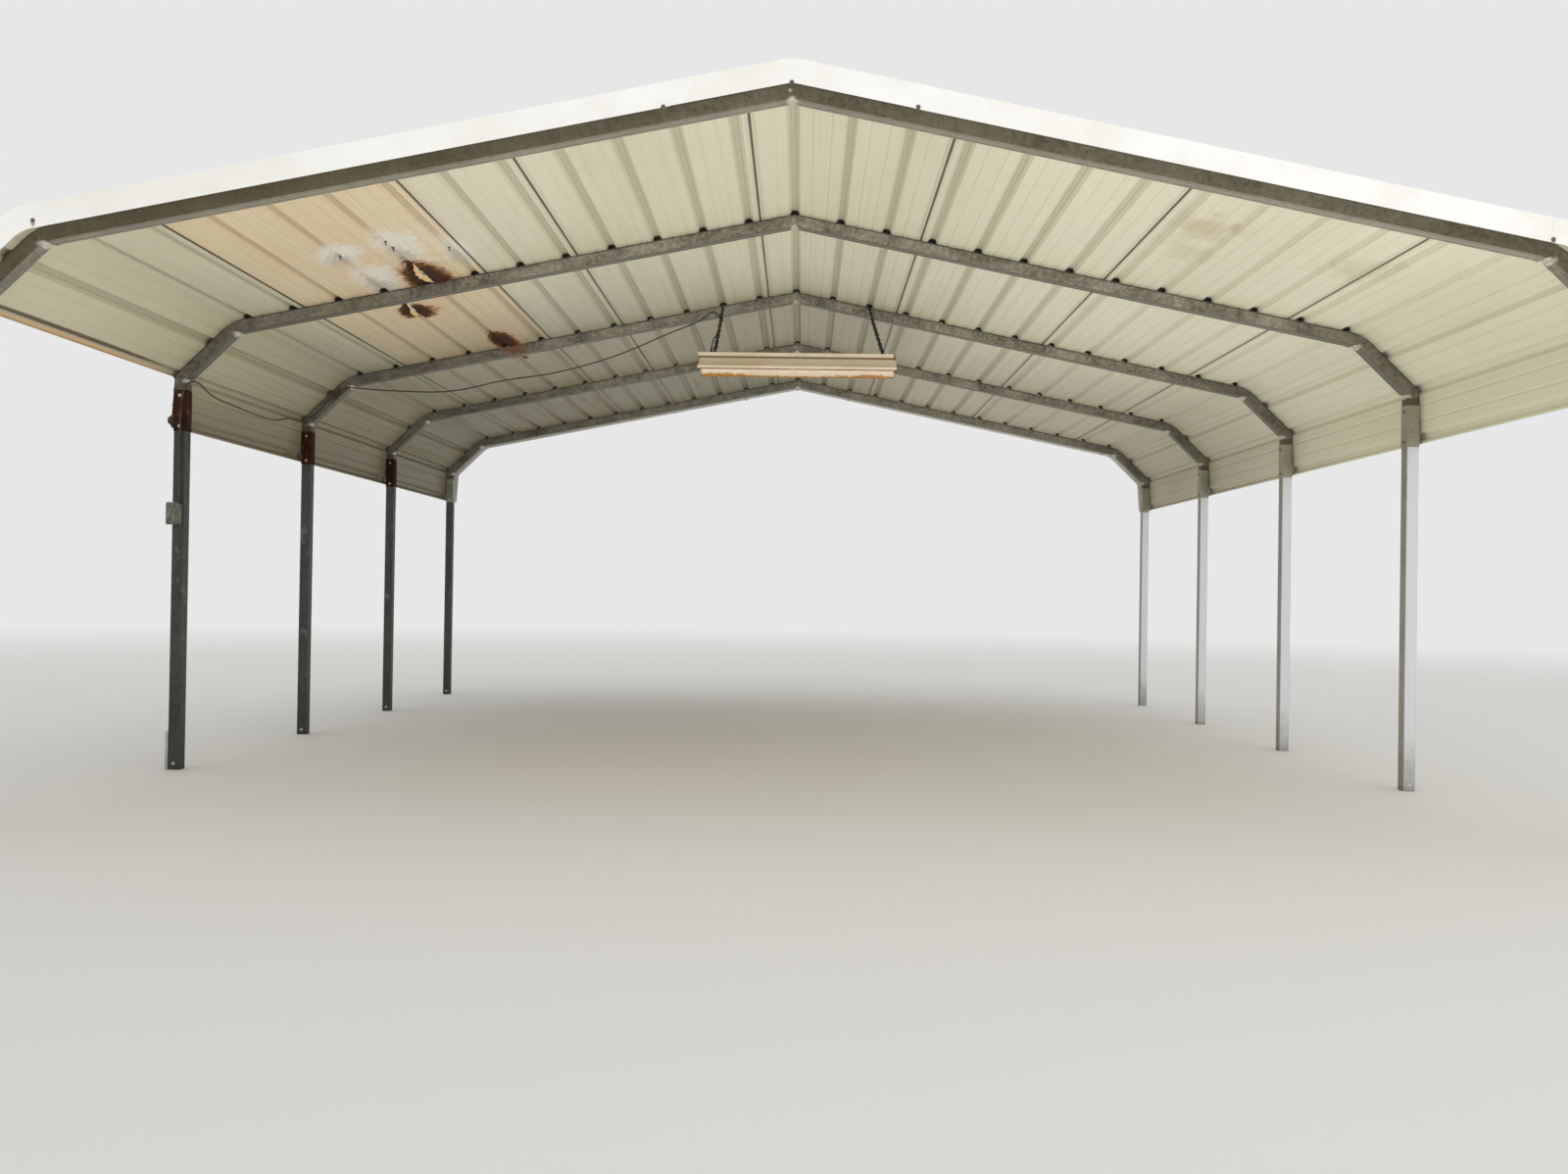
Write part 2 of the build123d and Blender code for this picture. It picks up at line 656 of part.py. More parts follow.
def save_trims():
    """Write the front trim, cut like the sheet on the left, and the rear trim, which is whole."""
    runs, caps = trims()
    front_caps = [cut_front_left(caps[0])] + caps[1:]
    save("front_trim_runs", Compound(children=runs))
    save("front_trim_caps", Compound(children=front_caps))
    save("rear_trim_runs", Compound(children=[Rot(0, 0, 180) * run for run in runs]))
    save("rear_trim_caps", Compound(children=[Rot(0, 0, 180) * cap for cap in caps]))


def main():
    """Build each sub-part and write it to its own file."""
    os.makedirs("parts", exist_ok=True)
    save_frame()
    save_roof()
    save_trims()
    save("outlet_box", outlet_box())
    save("light_housing", light_housing())
    save("light_reflector", light_reflector())
    save("light_holders", light_holders())
    save("light_lamps", light_lamps())
    save("hanger_left", hanger(-1, HANGER_LEFT_INSET))
    save("hanger_right", hanger(1, HANGER_RIGHT_INSET))
    save("foot_angle_left", foot_angle())
    save("light_cable", light_cable())


main()
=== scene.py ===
"""Looks of the two-car carport: finishes for the built frame and roof, and the small parts on them.

Metres, +Z up, the open front faces -Y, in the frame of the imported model.
"""
import logging
import math
from collections.abc import Callable, Iterable, Sequence
from dataclasses import dataclass
from enum import Enum
from typing import Any

import bmesh
import bpy
from mathutils import Matrix, Vector


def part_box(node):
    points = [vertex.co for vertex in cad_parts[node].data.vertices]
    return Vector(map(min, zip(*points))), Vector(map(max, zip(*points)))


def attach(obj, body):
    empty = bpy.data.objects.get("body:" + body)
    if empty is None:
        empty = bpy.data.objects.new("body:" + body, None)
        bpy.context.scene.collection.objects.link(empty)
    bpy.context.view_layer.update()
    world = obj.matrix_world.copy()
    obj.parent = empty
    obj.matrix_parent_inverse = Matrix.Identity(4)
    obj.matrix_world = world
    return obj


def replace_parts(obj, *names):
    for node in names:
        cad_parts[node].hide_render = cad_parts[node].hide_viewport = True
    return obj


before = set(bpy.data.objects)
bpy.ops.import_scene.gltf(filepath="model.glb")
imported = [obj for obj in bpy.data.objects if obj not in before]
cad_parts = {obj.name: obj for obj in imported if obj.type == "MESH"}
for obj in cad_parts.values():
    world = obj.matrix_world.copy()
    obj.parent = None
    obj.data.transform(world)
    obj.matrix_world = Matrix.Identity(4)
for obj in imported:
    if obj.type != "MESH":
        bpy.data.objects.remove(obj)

log = logging.getLogger("carport")

Colour = tuple[float, float, float, float]
Triple = tuple[float, float, float]
Piece = bpy.types.Object
Material = bpy.types.Material
NodeTree = bpy.types.NodeTree
Socket = bpy.types.NodeSocket
Outputs = bpy.types.NodeOutputs
Feed = Socket | float | Triple | Colour

BODY = "root"
FRAME_NUMBERS = (1, 2, 3, 4, 5)
BAY = 1.524
BOW_PLACES = tuple((number - 3) * BAY for number in FRAME_NUMBERS)
LAP_LINES = (-2.4096, -1.5132, -1.0650, -0.1686, 0.6168, 1.5132, 2.4096)
RIB_PLACES = (
    (0.2245, 2.7274), (0.4486, 2.6823), (0.6727, 2.6372), (0.8968, 2.5920), (1.1209, 2.5469),
    (1.3450, 2.5018), (1.5691, 2.4566), (1.7932, 2.4115), (2.0173, 2.3663), (2.2414, 2.3212),
    (2.4655, 2.2761), (2.6896, 2.2309),
)
TRIM_SCREWS = ((-0.455, 2.627), (-0.001, 2.719), (0.447, 2.635), (-2.702, 2.200), (2.675, 2.190))
CREAM_SHEETS = (
    "sheet_ridge", "sheet_right_upper", "sheet_right_lower", "sheet_right_eave",
    "sheet_left_upper", "sheet_left_middle", "sheet_left_eave",
)
TRIM_NODES = ("front_trim_runs", "front_trim_caps", "rear_trim_runs", "rear_trim_caps")

ORIGIN = (0.0, 0.0, 0.0)
LEFT, RIGHT = Vector((-1.0, 0.0, 0.0)), Vector((1.0, 0.0, 0.0))
FRONT, BACK = Vector((0.0, -1.0, 0.0)), Vector((0.0, 1.0, 0.0))
DOWN, UP = Vector((0.0, 0.0, -1.0)), Vector((0.0, 0.0, 1.0))
QUARTER = math.pi / 2.0
ALL_ALONG = 40.0  # reach of a stain along an axis that doesn't bound it


class Side(Enum):
    """The two sides of the carport, seen from its open front."""

    LEFT = -1
    RIGHT = 1

    @property
    def word(self) -> str:
        """Name of the side as it stands in the nodes' names."""
        return self.name.lower()


@dataclass(frozen=True)
class RoofFace:
    """One leaning face of the roof, by a point of its flat pans on the right and its lean in degrees."""

    across: float
    height: float
    degrees: float

    @property
    def lean(self) -> float:
        """Lean in radians."""
        return math.radians(self.degrees)

    def outward(self, side: int) -> Vector:
        """Direction that the face points in on one side of the carport."""
        return Vector((side * math.sin(self.lean), 0.0, math.cos(self.lean)))

    def level(self, across: float) -> float:
        """Height of the pans at a distance from the middle."""
        return self.height - (abs(across) - self.across) * math.sin(self.lean) / math.cos(self.lean)


SLOPE = RoofFace(0.4486, 2.6823, 11.39)
SHOULDER = RoofFace(2.8775, 2.1105, 44.23)
SKIRT = RoofFace(3.0602, 1.7217, 86.37)


def tone(red: int, green: int, blue: int) -> Colour:
    """Turn a colour as a screen shows it into the shader's own scale.

    Args:
        red: Red from 0 to 255.
        green: Green from 0 to 255.
        blue: Blue from 0 to 255.

    Returns:
        Linear red, green, blue and a full alpha.
    """
    shares = [value / 255.0 for value in (red, green, blue)]
    straight = [s / 12.92 if s <= 0.04045 else ((s + 0.055) / 1.055) ** 2.4 for s in shares]
    return (straight[0], straight[1], straight[2], 1.0)


RUST_DARK = tone(56, 36, 14)
RUST_BROWN = tone(94, 58, 27)
RUST_RED = tone(92, 38, 22)
RUST_ORANGE = tone(156, 100, 52)
RUST_WASH = tone(190, 152, 106)
SEALANT = tone(229, 224, 214)
SEALANT_SHADE = tone(176, 173, 166)
WHITE = (1.0, 1.0, 1.0, 1.0)


# ---- Shader nodes ----


@dataclass
class Graph:
    """Nodes and links of one material, one node group or the surroundings."""

    tree: NodeTree

    def node(self, kind: str, feeds: dict[str | int, Feed], **settings: Any) -> Outputs:
        """Add one node.

        Args:
            kind: Type name of the node.
            feeds: What each input gets, by the input's name or place: a socket or a value.
            **settings: Options that are set on the node.

        Returns:
            The outputs of the new node.
        """
        made = self.tree.nodes.new(kind)
        for key, value in settings.items():
            setattr(made, key, value)
        for key, value in feeds.items():
            if isinstance(value, bpy.types.NodeSocket):
                self.link(value, made.inputs[key])
            else:
                made.inputs[key].default_value = value
        return made.outputs

    def link(self, source: Socket, target: Socket) -> None:
        """Feed one socket from another."""
        self.tree.links.new(source, target)

    def place(self) -> Socket:
        """Object coordinates, which here are metres in the carport's own frame."""
        return self.node("ShaderNodeTexCoord", {})["Object"]

    def normal(self) -> Socket:
        """Direction that the flat face itself points in."""
        return self.node("ShaderNodeNewGeometry", {})["True Normal"]

    def vector(self, operation: str, first: Feed, second: Feed = ORIGIN) -> Socket:
        """Result of one vector operation."""
        return self.node("ShaderNodeVectorMath", {0: first, 1: second}, operation=operation)[0]

    def length(self, vector: Socket) -> Socket:
        """Length of a vector."""
        return self.node("ShaderNodeVectorMath", {0: vector}, operation="LENGTH")["Value"]

    def split(self, vector: Socket) -> tuple[Socket, ...]:
        """The x, y and z of a vector."""
        return tuple(self.node("ShaderNodeSeparateXYZ", {0: vector}))

    def noise(self, vector: Socket, scale: Feed, detail: float = 4.0, rough: float = 0.55) -> Socket:
        """Cloudy noise from 0 to 1 round a mean of one half."""
        feeds = {"Vector": vector, "Scale": scale, "Detail": detail, "Roughness": rough}
        return self.node("ShaderNodeTexNoise", feeds)[0]

    def step(self, value: Feed, low: Feed, high: Feed, start: float = 0.0, end: float = 1.0) -> Socket:
        """Smooth step of a value from one level to another.

        Args:
            value: The value that is mapped.
            low: Where the step starts.
            high: Where the step ends.
            start: Result at the step's start.
            end: Result at the step's end.

        Returns:
            The mapped value.
        """
        feeds = {0: value, 1: low, 2: high, 3: start, 4: end}
        return self.node("ShaderNodeMapRange", feeds, interpolation_type="SMOOTHSTEP")[0]

    def ramp(self, value: Feed, low: float, high: float, start: float, end: float) -> Socket:
        """Straight ramp of a value from one level to another."""
        return self.node("ShaderNodeMapRange", {0: value, 1: low, 2: high, 3: start, 4: end})[0]

    def math(self, operation: str, first: Feed, second: Feed = 0.0) -> Socket:
        """Result of one arithmetic operation, held between 0 and 1."""
        return self.node("ShaderNodeMath", {0: first, 1: second}, operation=operation, use_clamp=True)[0]

    def free(self, operation: str, first: Feed, second: Feed = 0.0, third: Feed = 0.0) -> Socket:
        """Result of one arithmetic operation that may pass 1 or be negative."""
        return self.node("ShaderNodeMath", {0: first, 1: second, 2: third}, operation=operation)[0]

    def times(self, share: Feed, *others: Feed) -> Feed:
        """Multiply shares, each product held between 0 and 1.

        Args:
            share: The first share.
            *others: What it is multiplied by, one after another.

        Returns:
            The product.
        """
        for other in others:
            share = self.math("MULTIPLY", share, other)
        return share

    def most(self, first: Feed, second: Feed) -> Socket:
        """The greater of two shares."""
        return self.math("MAXIMUM", first, second)

    def mean(self, first: Feed, second: Feed, weight: float) -> Socket:
        """Mean of two values, the first by its weight and the second by the rest."""
        return self.math("ADD", self.times(first, weight), self.times(second, 1.0 - weight))

    def mix(self, share: Feed, first: Feed, second: Feed) -> Socket:
        """Mix two colours by a share from 0 to 1."""
        return self.node("ShaderNodeMix", {0: share, 6: first, 7: second}, data_type="RGBA")[2]

    def distance(self, across: Feed, height: Feed, face: RoofFace) -> Socket:
        """Distance over a face of the roof's pans, positive outside.

        Args:
            across: Distance from the middle of the carport.
            height: Height over the ground.
            face: The face of the roof.

        Returns:
            The distance.
        """
        aside, up = math.sin(face.lean), math.cos(face.lean)
        level = -face.across * aside - face.height * up
        return self.free("MULTIPLY_ADD", across, aside, self.free("MULTIPLY_ADD", height, up, level))

    def from_bow(self, along: Feed) -> Socket:
        """Distance along the carport to the nearest bow's middle."""
        return self.free("ABSOLUTE", self.free("WRAP", along, BAY / 2.0, -BAY / 2.0))


def shared_effect(
    name: str, ports: dict[str, float | Triple], results: Sequence[str] = ("Mask",)
) -> tuple[Graph, Outputs, bpy.types.NodeInputs]:
    """Start a node group with a Vector input, its other inputs and its outputs.

    Args:
        name: Name of the group.
        ports: Usual value of each other input; three numbers make it a vector input.
        results: Names of the outputs.

    Returns:
        The graph, the outputs of the group's input node, and the inputs of its output node.
    """
    tree = bpy.data.node_groups.new(name, "ShaderNodeTree")
    for port, value in {"Vector": ORIGIN, **ports}.items():
        kind = "NodeSocketVector" if isinstance(value, tuple) else "NodeSocketFloat"
        tree.interface.new_socket(name=port, in_out="INPUT", socket_type=kind).default_value = value
    for result in results:
        tree.interface.new_socket(name=result, in_out="OUTPUT", socket_type="NodeSocketFloat")
    return Graph(tree), tree.nodes.new("NodeGroupInput").outputs, tree.nodes.new("NodeGroupOutput").inputs


class Effects:
    """Node groups that several finishes share, each built once."""

    def __init__(self) -> None:
        """Build every group."""
        self.cloud = self._cloud()
        self.patch = self._patch()
        self.spangle = self._spangle()
        self.ground_dirt = self._ground_dirt()
        self.specks = self._specks()
        self.roof_depth = self._roof_depth()
        self.lap_lines = self._lap_lines()

    @staticmethod
    def _cloud() -> NodeTree:
        """Noise that can be stretched along an axis, cut between two levels.

        Returns:
            The group.
        """
        graph, entry, leave = shared_effect("cloud", {"Stretch": (1.0, 1.0, 1.0), "Low": 0.4, "High": 0.6})
        spread = graph.vector("MULTIPLY", entry["Vector"], entry["Stretch"])
        graph.link(graph.step(graph.noise(spread, 1.0, 5.0, 0.6), entry["Low"], entry["High"]), leave["Mask"])
        return graph.tree

    @staticmethod
    def _patch() -> NodeTree:
        """Ragged patch round one place: full in its middle and nothing outside its reach.

        Returns:
            The group.
        """
        ports = {"Middle": ORIGIN, "Reach": (1.0, 1.0, 1.0), "Ragged": 0.6, "Grain": 12.0, "Softness": 0.3}
        graph, entry, leave = shared_effect("patch", ports)
        away = graph.vector("SUBTRACT", entry["Vector"], entry["Middle"])
        length = graph.length(graph.vector("DIVIDE", away, entry["Reach"]))
        cloud = graph.free("SUBTRACT", graph.noise(entry["Vector"], entry["Grain"], 6.0, 0.62), 0.5)
        total = graph.free("ADD", length, graph.free("MULTIPLY", cloud, entry["Ragged"]))
        inner = graph.free("SUBTRACT", 1.0, entry["Softness"])
        graph.link(graph.step(total, inner, 1.0, 1.0, 0.0), leave["Mask"])
        return graph.tree

    @staticmethod
    def _spangle() -> NodeTree:
        """Crystals of a zinc coating: a tone for each crystal.

        Returns:
            The group.
        """
        graph, entry, leave = shared_effect("spangle", {"Scale": 60.0}, ("Tone",))
        feeds = {"Vector": entry["Vector"], "Scale": entry["Scale"], "Randomness": 1.0}
        crystal_tone = graph.split(graph.node("ShaderNodeTexVoronoi", feeds)["Color"])[0]
        graph.link(graph.mean(crystal_tone, graph.noise(entry["Vector"], 420.0, 2.0), 0.7), leave["Tone"])
        return graph.tree

    @staticmethod
    def _ground_dirt() -> NodeTree:
        """Dirt that is full at the ground and fades out upwards with a ragged edge.

        Returns:
            The group.
        """
        graph, entry, leave = shared_effect("ground_dirt", {"Top": 0.25, "Ragged": 0.3})
        shift = graph.free("MULTIPLY", graph.noise(entry["Vector"], 22.0, 5.0), entry["Ragged"])
        raised = graph.free("SUBTRACT", graph.split(entry["Vector"])[2], shift)
        graph.link(graph.step(raised, -0.15, entry["Top"], 1.0, 0.0), leave["Mask"])
        return graph.tree

    @staticmethod
    def _specks() -> NodeTree:
        """Scattered small spots, such as rust breaking through.

        Returns:
            The group.
        """
        graph, entry, leave = shared_effect("specks", {"Scale": 40.0, "Size": 0.12})
        cells = graph.node("ShaderNodeTexVoronoi", {"Vector": entry["Vector"], "Scale": entry["Scale"]})
        cloud = graph.noise(entry["Vector"], 6.0, 3.0)
        limit = graph.times(entry["Size"], graph.step(cloud, 0.48, 0.66))
        graph.link(graph.step(cells["Distance"], limit, graph.times(limit, 1.6), 1.0, 0.0), leave["Mask"])
        return graph.tree

    @staticmethod
    def _roof_depth() -> NodeTree:
        """Where a point of a roof sheet lies: in a rib, on a bead, and on the sheet's under side.

        Returns:
            The group.
        """
        results = ("Rib", "Deep", "Bead", "Under", "Height")
        graph, entry, leave = shared_effect("roof_depth", {"Normal": ORIGIN}, results)
        x, _, z = graph.split(entry["Vector"])
        across = graph.free("ABSOLUTE", x)
        slope, shoulder, skirt = (graph.distance(across, z, face) for face in (SLOPE, SHOULDER, SKIRT))
        height = graph.free("MAXIMUM", slope, graph.free("MAXIMUM", shoulder, skirt))
        rib = graph.step(height, 0.0035, 0.0125)
        bead = graph.math("SUBTRACT", graph.step(height, 0.0008, 0.0026), rib)
        to_shoulder = graph.ramp(z, 2.25, 2.15, SLOPE.lean, SHOULDER.lean)
        to_skirt = graph.ramp(z, 1.98, 1.92, 0.0, SKIRT.lean - SHOULDER.lean)
        lean = graph.free("ADD", to_shoulder, to_skirt)
        face_x, _, face_z = graph.split(entry["Normal"])
        aside = graph.free("MULTIPLY", face_x, graph.free("SIGN", x))
        outward = graph.free("MULTIPLY", aside, graph.free("SINE", lean))
        total = graph.free("MULTIPLY_ADD", face_z, graph.free("COSINE", lean), outward)
        deep = graph.step(height, 0.0105, 0.0175)
        under = graph.step(total, -0.05, 0.05, 1.0, 0.0)
        for name, value in zip(results, (rib, deep, bead, under, height)):
            graph.link(value, leave[name])
        return graph.tree

    @staticmethod
    def _lap_lines() -> NodeTree:
        """Thin lines in the ribs where one sheet laps over the next, for dirt and painted gap shadow, and the
        wider dirt beside them.

        Returns:
            The group.
        """
        graph, entry, leave = shared_effect("lap_lines", {"Width": 0.0026}, ("Mask", "Wide"))
        x = graph.split(entry["Vector"])[0]
        nearest: Feed = 1.0
        for place in LAP_LINES:
            nearest = graph.free("MINIMUM", nearest, graph.free("ABSOLUTE", graph.free("SUBTRACT", x, place)))
        shaken = graph.noise(graph.vector("MULTIPLY", entry["Vector"], (1.0, 0.3, 1.0)), 14.0)
        width = graph.free("ADD", entry["Width"], graph.free("MULTIPLY", shaken, 0.003))
        for name, spread in (("Mask", 0.002), ("Wide", 0.024)):
            graph.link(graph.step(nearest, width, graph.free("ADD", width, spread), 1.0, 0.0), leave[name])
        return graph.tree


# ---- Stains and finishes ----


@dataclass(frozen=True)
class Stain:
    """A discoloured place on a finish, or a spot of painted light or shade on it, in metres."""

    middle: Triple
    reach: Triple
    colour: Colour
    strength: float = 1.0
    ragged: float = 0.6
    grain: float = 12.0
    softness: float = 0.3
    is_rust: bool = False


class Surface:
    """One material in the making: its shader, the colour laid so far and the share of rust in it."""

    def __init__(self, effects: Effects, name: str, roughness: float, metallic: float = 0.0) -> None:
        """Open the material.

        Args:
            effects: The shared node groups.
            name: Name of the material.
            roughness: Its plain roughness.
            metallic: Its plain metallic share.
        """
        self.effects = effects
        self.material = bpy.data.materials.new(name)
        self.material.use_nodes = True
        self.graph = Graph(self.material.node_tree)
        self.shader = self.material.node_tree.nodes["Principled BSDF"].inputs
        self.fix("Roughness", roughness)
        self.fix("Metallic", metallic)
        self.place = self.graph.place()
        self.colour: Feed | None = None
        self.rusted: Feed = 0.0

    def fix(self, name: str, value: float) -> None:
        """Set one plain value of the shader."""
        self.shader[name].default_value = value

    def effect(self, group: NodeTree, **feeds: Feed) -> Outputs:
        """Outputs of a shared effect that is placed in the material."""
        return self.graph.node("ShaderNodeGroup", {"Vector": self.place, **feeds}, node_tree=group)

    def cloud(self, stretch: Triple, low: float, high: float) -> Socket:
        """Mask of stretched noise between two levels."""
        return self.effect(self.effects.cloud, Stretch=stretch, Low=low, High=high)["Mask"]

    def specks(self, scale: float, size: float) -> Socket:
        """Mask of scattered spots."""
        return self.effect(self.effects.specks, Scale=scale, Size=size)["Mask"]

    def roof(self) -> Outputs:
        """Where a point lies on the roof."""
        return self.effect(self.effects.roof_depth, Normal=self.graph.normal())

    def lay(self, colour: Colour, *shares: Feed) -> None:
        """Lay a colour over the colour so far, as strong as the product of its shares."""
        self.colour = self.graph.mix(self.graph.times(*shares), self.colour, colour)

    def stain(self, marks: Iterable[Stain]) -> None:
        """Lay marks over the colour so far: discoloured spots, and spots of painted light or shade.

        Args:
            marks: The marks, the first one lowest.
        """
        for spot in marks:
            feeds = {"Middle": spot.middle, "Reach": spot.reach, "Ragged": spot.ragged, "Grain": spot.grain}
            mask = self.effect(self.effects.patch, Softness=spot.softness, **feeds)["Mask"]
            self.lay(spot.colour, mask, spot.strength)
            if spot.is_rust:
                self.rusted = self.graph.most(self.rusted, mask)

    def close(
        self, rough: Socket, rust_rough: float, height: Socket, strength: float, distance: float
    ) -> Material:
        """Feed the shader.

        Args:
            rough: Roughness where there is no rust.
            rust_rough: Least roughness of full rust.
            height: Height that the shader's normal is bent by.
            strength: Strength of the bending.
            distance: Depth of the height in metres.

        Returns:
            The finished material.
        """
        rusty = self.graph.times(self.rusted, rust_rough)
        feeds = {"Height": height, "Strength": strength, "Distance": distance}
        bump = self.graph.node("ShaderNodeBump", feeds)[0]
        self.graph.link(self.colour, self.shader["Base Color"])
        self.graph.link(self.graph.most(rough, rusty), self.shader["Roughness"])
        self.graph.link(bump, self.shader["Normal"])
        return self.material


@dataclass(frozen=True)
class Zinc:
    """Dull spangled zinc on the tubes, with streaks, dirt and rust at the cuts, and painted sunlight on front
    faces where it is given.
    """

    name: str
    light: Colour
    dark: Colour
    spangle: float = 95.0
    rough: float = 0.5
    is_bow: bool = False
    sunlit_fronts: Colour | None = None
    mud: Colour = tone(112, 98, 78)
    marks: tuple[Stain, ...] = ()

    def build(self, effects: Effects) -> Material:
        """Make the material.

        Args:
            effects: The shared node groups.

        Returns:
            The zinc.
        """
        surface = Surface(effects, self.name, self.rough, 0.35)
        graph = surface.graph
        crystals = surface.effect(effects.spangle, Scale=self.spangle)["Tone"]
        share = graph.mean(crystals, surface.cloud((5.0, 5.0, 5.0), 0.36, 0.64), 0.62)
        surface.colour = graph.mix(share, self.dark, self.light)
        surface.lay(tone(88, 84, 72), surface.cloud((38.0, 38.0, 2.2), 0.52, 0.72), 0.35)
        surface.lay(tone(190, 190, 182), surface.cloud((16.0, 16.0, 9.0), 0.6, 0.7), 0.16)
        if self.is_bow:
            self.weather_and_shade_bow(surface)
        if self.sunlit_fronts is not None:
            # Painted sunlight: faces that look to the front turn a bright bluish white.
            surface.lay(self.sunlit_fronts, graph.step(graph.split(graph.normal())[1], -0.6, -0.9), 0.76)
        foot = surface.effect(effects.ground_dirt, Top=0.16, Ragged=0.28)["Mask"]
        surface.lay(self.mud, foot, 0.5)
        surface.stain(self.marks)
        dirty = graph.math("ADD", share, graph.times(foot, 0.5))
        rough = graph.step(dirty, 0.0, 1.0, self.rough - 0.1, self.rough + 0.16)
        return surface.close(rough, 0.9, graph.noise(surface.place, 55.0, 4.0), 0.25, 0.002)

    @staticmethod
    def weather_and_shade_bow(surface: Surface) -> None:
        """Weather and shade a bow: a paler under side with painted shade behind the front bow and the weld
        seam, painted shade at its knees and to the left, specks, a painted shade line along its top, a darker
        lower edge, and painted shade on the front bow's face.

        Args:
            surface: The material in the making.
        """
        graph = surface.graph
        x, along, _ = graph.split(surface.place)
        _, face_y, face_z = graph.split(graph.normal())
        below = graph.step(face_z, -0.6, -0.9)
        behind_front = graph.step(along, -2.9, -2.6)
        by_knee = graph.step(graph.free("ABSOLUTE", x), 2.2, 2.8, 0.0, 0.45)
        wear_and_shade = graph.most(graph.step(x, -1.0, -2.6, 0.0, 0.42), by_knee)
        seam = graph.step(graph.from_bow(along), 0.0012, 0.003, 1.0, 0.0)
        height = surface.roof()["Height"]
        front_face = graph.times(graph.step(face_y, -0.6, -0.9), graph.step(along, -2.9, -3.06))
        # A paler grey on the under faces, then painted shade on the under faces of every bow behind the front
        # one.
        surface.lay(tone(156, 149, 130), below, 0.45)
        surface.lay(tone(90, 85, 70), below, behind_front, 0.75)
        # Painted shade towards the left and at both knees, on the bows behind the front one.
        surface.lay(tone(72, 69, 57), wear_and_shade, behind_front)
        surface.lay(tone(62, 58, 46), surface.specks(52.0, 0.22), 0.5)
        surface.lay(tone(206, 202, 188), seam, below, 0.7)
        # Painted shade: a dark line along the tube's top, where it meets the sheets.
        surface.lay(tone(66, 60, 50), graph.step(height, -0.0085, -0.0035, 0.0, 0.75))
        surface.lay(tone(70, 65, 52), graph.step(height, -0.0590, -0.0540, 0.35, 0.0))
        # Painted shade on the front bow's front face, stronger on the left.
        surface.lay(tone(92, 84, 66), front_face, graph.step(x, 0.2, -1.8, 0.6, 0.8))


